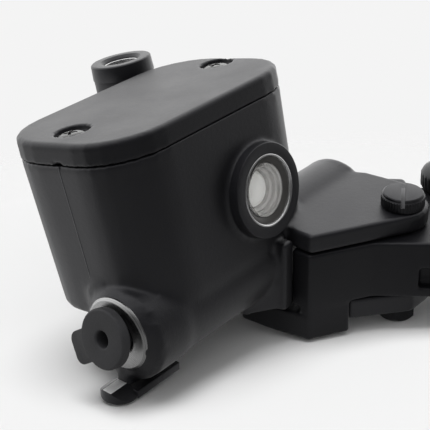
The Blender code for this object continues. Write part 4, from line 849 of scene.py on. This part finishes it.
def adjusterWheel():
    low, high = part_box("adjuster_wheel")
    bottom, top = low[2] / mm, high[2] / mm
    radius, dome = wheelSettings["radius"], wheelSettings["dome"]
    wheel = turnPiece("adjusterKnob", [(0, top), (radius * 0.35, top - dome * 0.08),
                                       (radius * 0.62, top - dome * 0.3),
                                       (radius * 0.82, top - dome * 0.7),
                                       (radius * 0.94, top - dome * 1.25),
                                       (radius, top - dome * 2.0), (radius, bottom + 0.7),
                                       (radius - 0.6, bottom), (0, bottom)], 120)
    scallop, out = wheelSettings["scallopRadius"], radius + wheelSettings["scallopOut"]
    groove = turnPiece("groove", [(0, -6), (scallop, -6), (scallop, 6), (0, 6)], 12)
    settle(groove, Matrix.Translation((out * mm, 0, (top + bottom) / 2 * mm))
           @ Matrix.Rotation(radians(wheelSettings["twist"]), 4, "X"))
    cutWith(wheel, ringOf(groove, wheelSettings["scallops"]))
    roundEdges(wheel, wheelSettings["round"], 2, 40)
    smoothShade(wheel, 40)
    return settle(wheel, Matrix.Translation((wheelAxis.x, wheelAxis.y, 0)))


place(adjusterWheel(), "wheel", blackPlastic, "black_plastic", ["adjuster_wheel"])
print("pivot bolt and adjuster wheel made")


# the pieces that keep their own shape get their finish
plainFinishes = {
    "clamp_bolt_1": blackSteel, "clamp_bolt_2": blackSteel, "pivot_nut": blackSteel,
    "pivot_bush": brassMetal, "push_arm": castAlloy, "push_rod": zincPlate, "piston": castAlloy,
    "primary_cup": blackRubber, "secondary_cup": blackRubber, "return_spring": zincPlate,
    "circlip": zincPlate, "dust_boot": blackRubber, "diaphragm": blackRubber,
    "diaphragm_plate": palePlastic, "adjuster_pin": zincPlate, "brake_switch": blackPlastic,
    "switch_plunger": brassMetal, "switch_screw": zincPlate, "switch_terminal_1": brassMetal,
    "switch_terminal_2": brassMetal}
for nodeName, finish in plainFinishes.items():
    for slot in cadNodes[nodeName].material_slots:
        slot.material = finish


floorSettings = {"slope": (-0.158, -0.187), "radius": 0.32, "gap": 0.0002, "colour": 0.86,
                 "fadeStart": 0.15, "fadeEnd": 0.25, "frontWay": (-0.45, -0.9, 0.0),
                 "frontStart": 0.03, "frontSteep": 18, "frontDim": 0.8}


def makeFloor():
    # a disc just under the lowest points, tilted as the object lies on it
    slopeX, slopeY = floorSettings["slope"]
    normal = Vector((-slopeX, -slopeY, 1)).normalized()
    lowest = min(normal.dot(vertex.co) for node in cadNodes.values()
                 for vertex in node.data.vertices)
    bpy.ops.object.select_all(action="DESELECT")
    bpy.ops.mesh.primitive_circle_add(vertices=96, radius=floorSettings["radius"],
                                      fill_type="NGON")
    floor = bpy.context.object
    floor.name = "floor"
    turn = Vector((0, 0, 1)).rotation_difference(normal).to_matrix().to_4x4()
    settle(floor, Matrix.Translation(normal * (lowest - floorSettings["gap"])) @ turn)
    finish, shader, where = newFinish("paleFloor", {
        "colour": [floorSettings["colour"]] * 3, "roughness": 0.9,
        "sockets": {"Specular IOR Level": 0.1}})
    reach = where.node("ShaderNodeVectorMath", {"operation": "LENGTH"}, {0: where}, "Value")
    fade = reach.ramp((floorSettings["fadeStart"], 0.0), (floorSettings["fadeEnd"], 1.0))
    # the coat mirrors less of the floor in front of the object
    mirror = Wire(where.tree, where.tree.nodes.new("ShaderNodeLightPath").outputs["Is Glossy Ray"])
    ahead = where.node("ShaderNodeVectorMath", {"operation": "DOT_PRODUCT"},
                       {0: where, 1: floorSettings["frontWay"]}, "Value")
    dim = ((ahead - floorSettings["frontStart"]) * floorSettings["frontSteep"]).ramp(
        (0.0, 0.0), (1.0, floorSettings["frontDim"]))
    fade = fade.math("MAXIMUM", fade, mirror * dim)
    clear = where.node("ShaderNodeBsdfTransparent", {}, {})
    lit = Wire(where.tree, shader.outputs[0])
    mix = where.node("ShaderNodeMixShader", {}, {0: fade, 1: lit, 2: clear})
    mix.feed(where.tree.nodes["Material Output"], "Surface")
    floor.data.materials.append(finish)


makeFloor()

# the camera sees an even pale backdrop; the coat mirrors one that is bright behind and above
skySettings = {"backdrop": 0.905, "towards": (0.30, 0.75, 0.50), "low": -0.10, "high": 0.85,
               "dark": 0.10, "bright": 1.65, "ambient": 0.12, "side": (1.0, 0.12, -0.20),
               "sideStart": 0.55, "sideSteep": 2.4, "sideBright": 0.9}
world = bpy.context.scene.world or bpy.data.worlds.new("studio")
bpy.context.scene.world = world
world.use_nodes = True
skyTree = world.node_tree
skyTree.nodes.clear()
rays = skyTree.nodes.new("ShaderNodeLightPath")
seen = Wire(skyTree, rays.outputs["Is Camera Ray"])
mirrored = Wire(skyTree, rays.outputs["Is Glossy Ray"])
through = Wire(skyTree, rays.outputs["Is Transmission Ray"])
outward = Wire(skyTree, skyTree.nodes.new("ShaderNodeTexCoord").outputs["Generated"])
height = outward.node("ShaderNodeVectorMath", {"operation": "DOT_PRODUCT"},
                      {0: outward, 1: Vector(skySettings["towards"]).normalized()}, "Value")
spread = skySettings["high"] - skySettings["low"]
softbox = ((height - skySettings["low"]) * (1 / spread)).ramp((0.0, skySettings["dark"]),
                                                            (1.0, skySettings["bright"]))
side = outward.node("ShaderNodeVectorMath", {"operation": "DOT_PRODUCT"},
                    {0: outward, 1: Vector(skySettings["side"]).normalized()}, "Value")
glow = ((side - skySettings["sideStart"]) * skySettings["sideSteep"]).ramp(
    (0.0, 0.0), (1.0, skySettings["sideBright"]))
softbox = softbox + glow
plain = skySettings["ambient"] + mirrored * (softbox - skySettings["ambient"])
view = seen.math("MAXIMUM", seen, through)
level = plain + view * (1.0 - plain)
sky = level.node("ShaderNodeBackground", {}, {"Color": (*[skySettings["backdrop"]] * 3, 1),
                                              "Strength": level})
sky.feed(skyTree.nodes.new("ShaderNodeOutputWorld"), "Surface")

lampSettings = [
    {"name": "overheadSoftbox", "from": (-0.02, 0.12, 1.0), "angle": 36, "power": 2.52},
    {"name": "frontSoftbox", "from": (-0.50, -0.50, 0.75), "angle": 60, "power": 1.05},
]
for lamp in lampSettings:
    light = bpy.data.lights.new(lamp["name"], "SUN")
    light.angle = radians(lamp["angle"])
    light.energy = lamp["power"]
    holder = bpy.data.objects.new(lamp["name"], light)
    bpy.context.scene.collection.objects.link(holder)
    holder.location = Vector(lamp["from"]) * 0.5
    holder.visible_glossy = False        # the coat mirrors the sky, not the lamps
    holder.rotation_mode = "QUATERNION"
    holder.rotation_quaternion = (-Vector(lamp["from"])).to_track_quat("-Z", "Y")

cameraSettings = {"lens": 101.16, "at": (-0.2309, -0.21874, 0.18053),
                  "right": (0.6387, -0.7692, -0.0189), "up": (0.3854, 0.2985, 0.8731),
                  "ahead": (0.6660, 0.5649, -0.4871)}
cameraData = bpy.data.cameras.new("camera")
cameraData.sensor_width = 36
cameraData.lens = cameraSettings["lens"]
cameraData.clip_start = 0.01
cameraData.clip_end = 20
camera = bpy.data.objects.new("camera", cameraData)
bpy.context.scene.collection.objects.link(camera)
axes = Matrix((cameraSettings["right"], cameraSettings["up"],
               [-part for part in cameraSettings["ahead"]])).transposed()
camera.matrix_world = Matrix.Translation(cameraSettings["at"]) @ axes.to_4x4()
bpy.context.scene.camera = camera
bpy.context.scene.view_settings.view_transform = "Standard"
print("stage made")
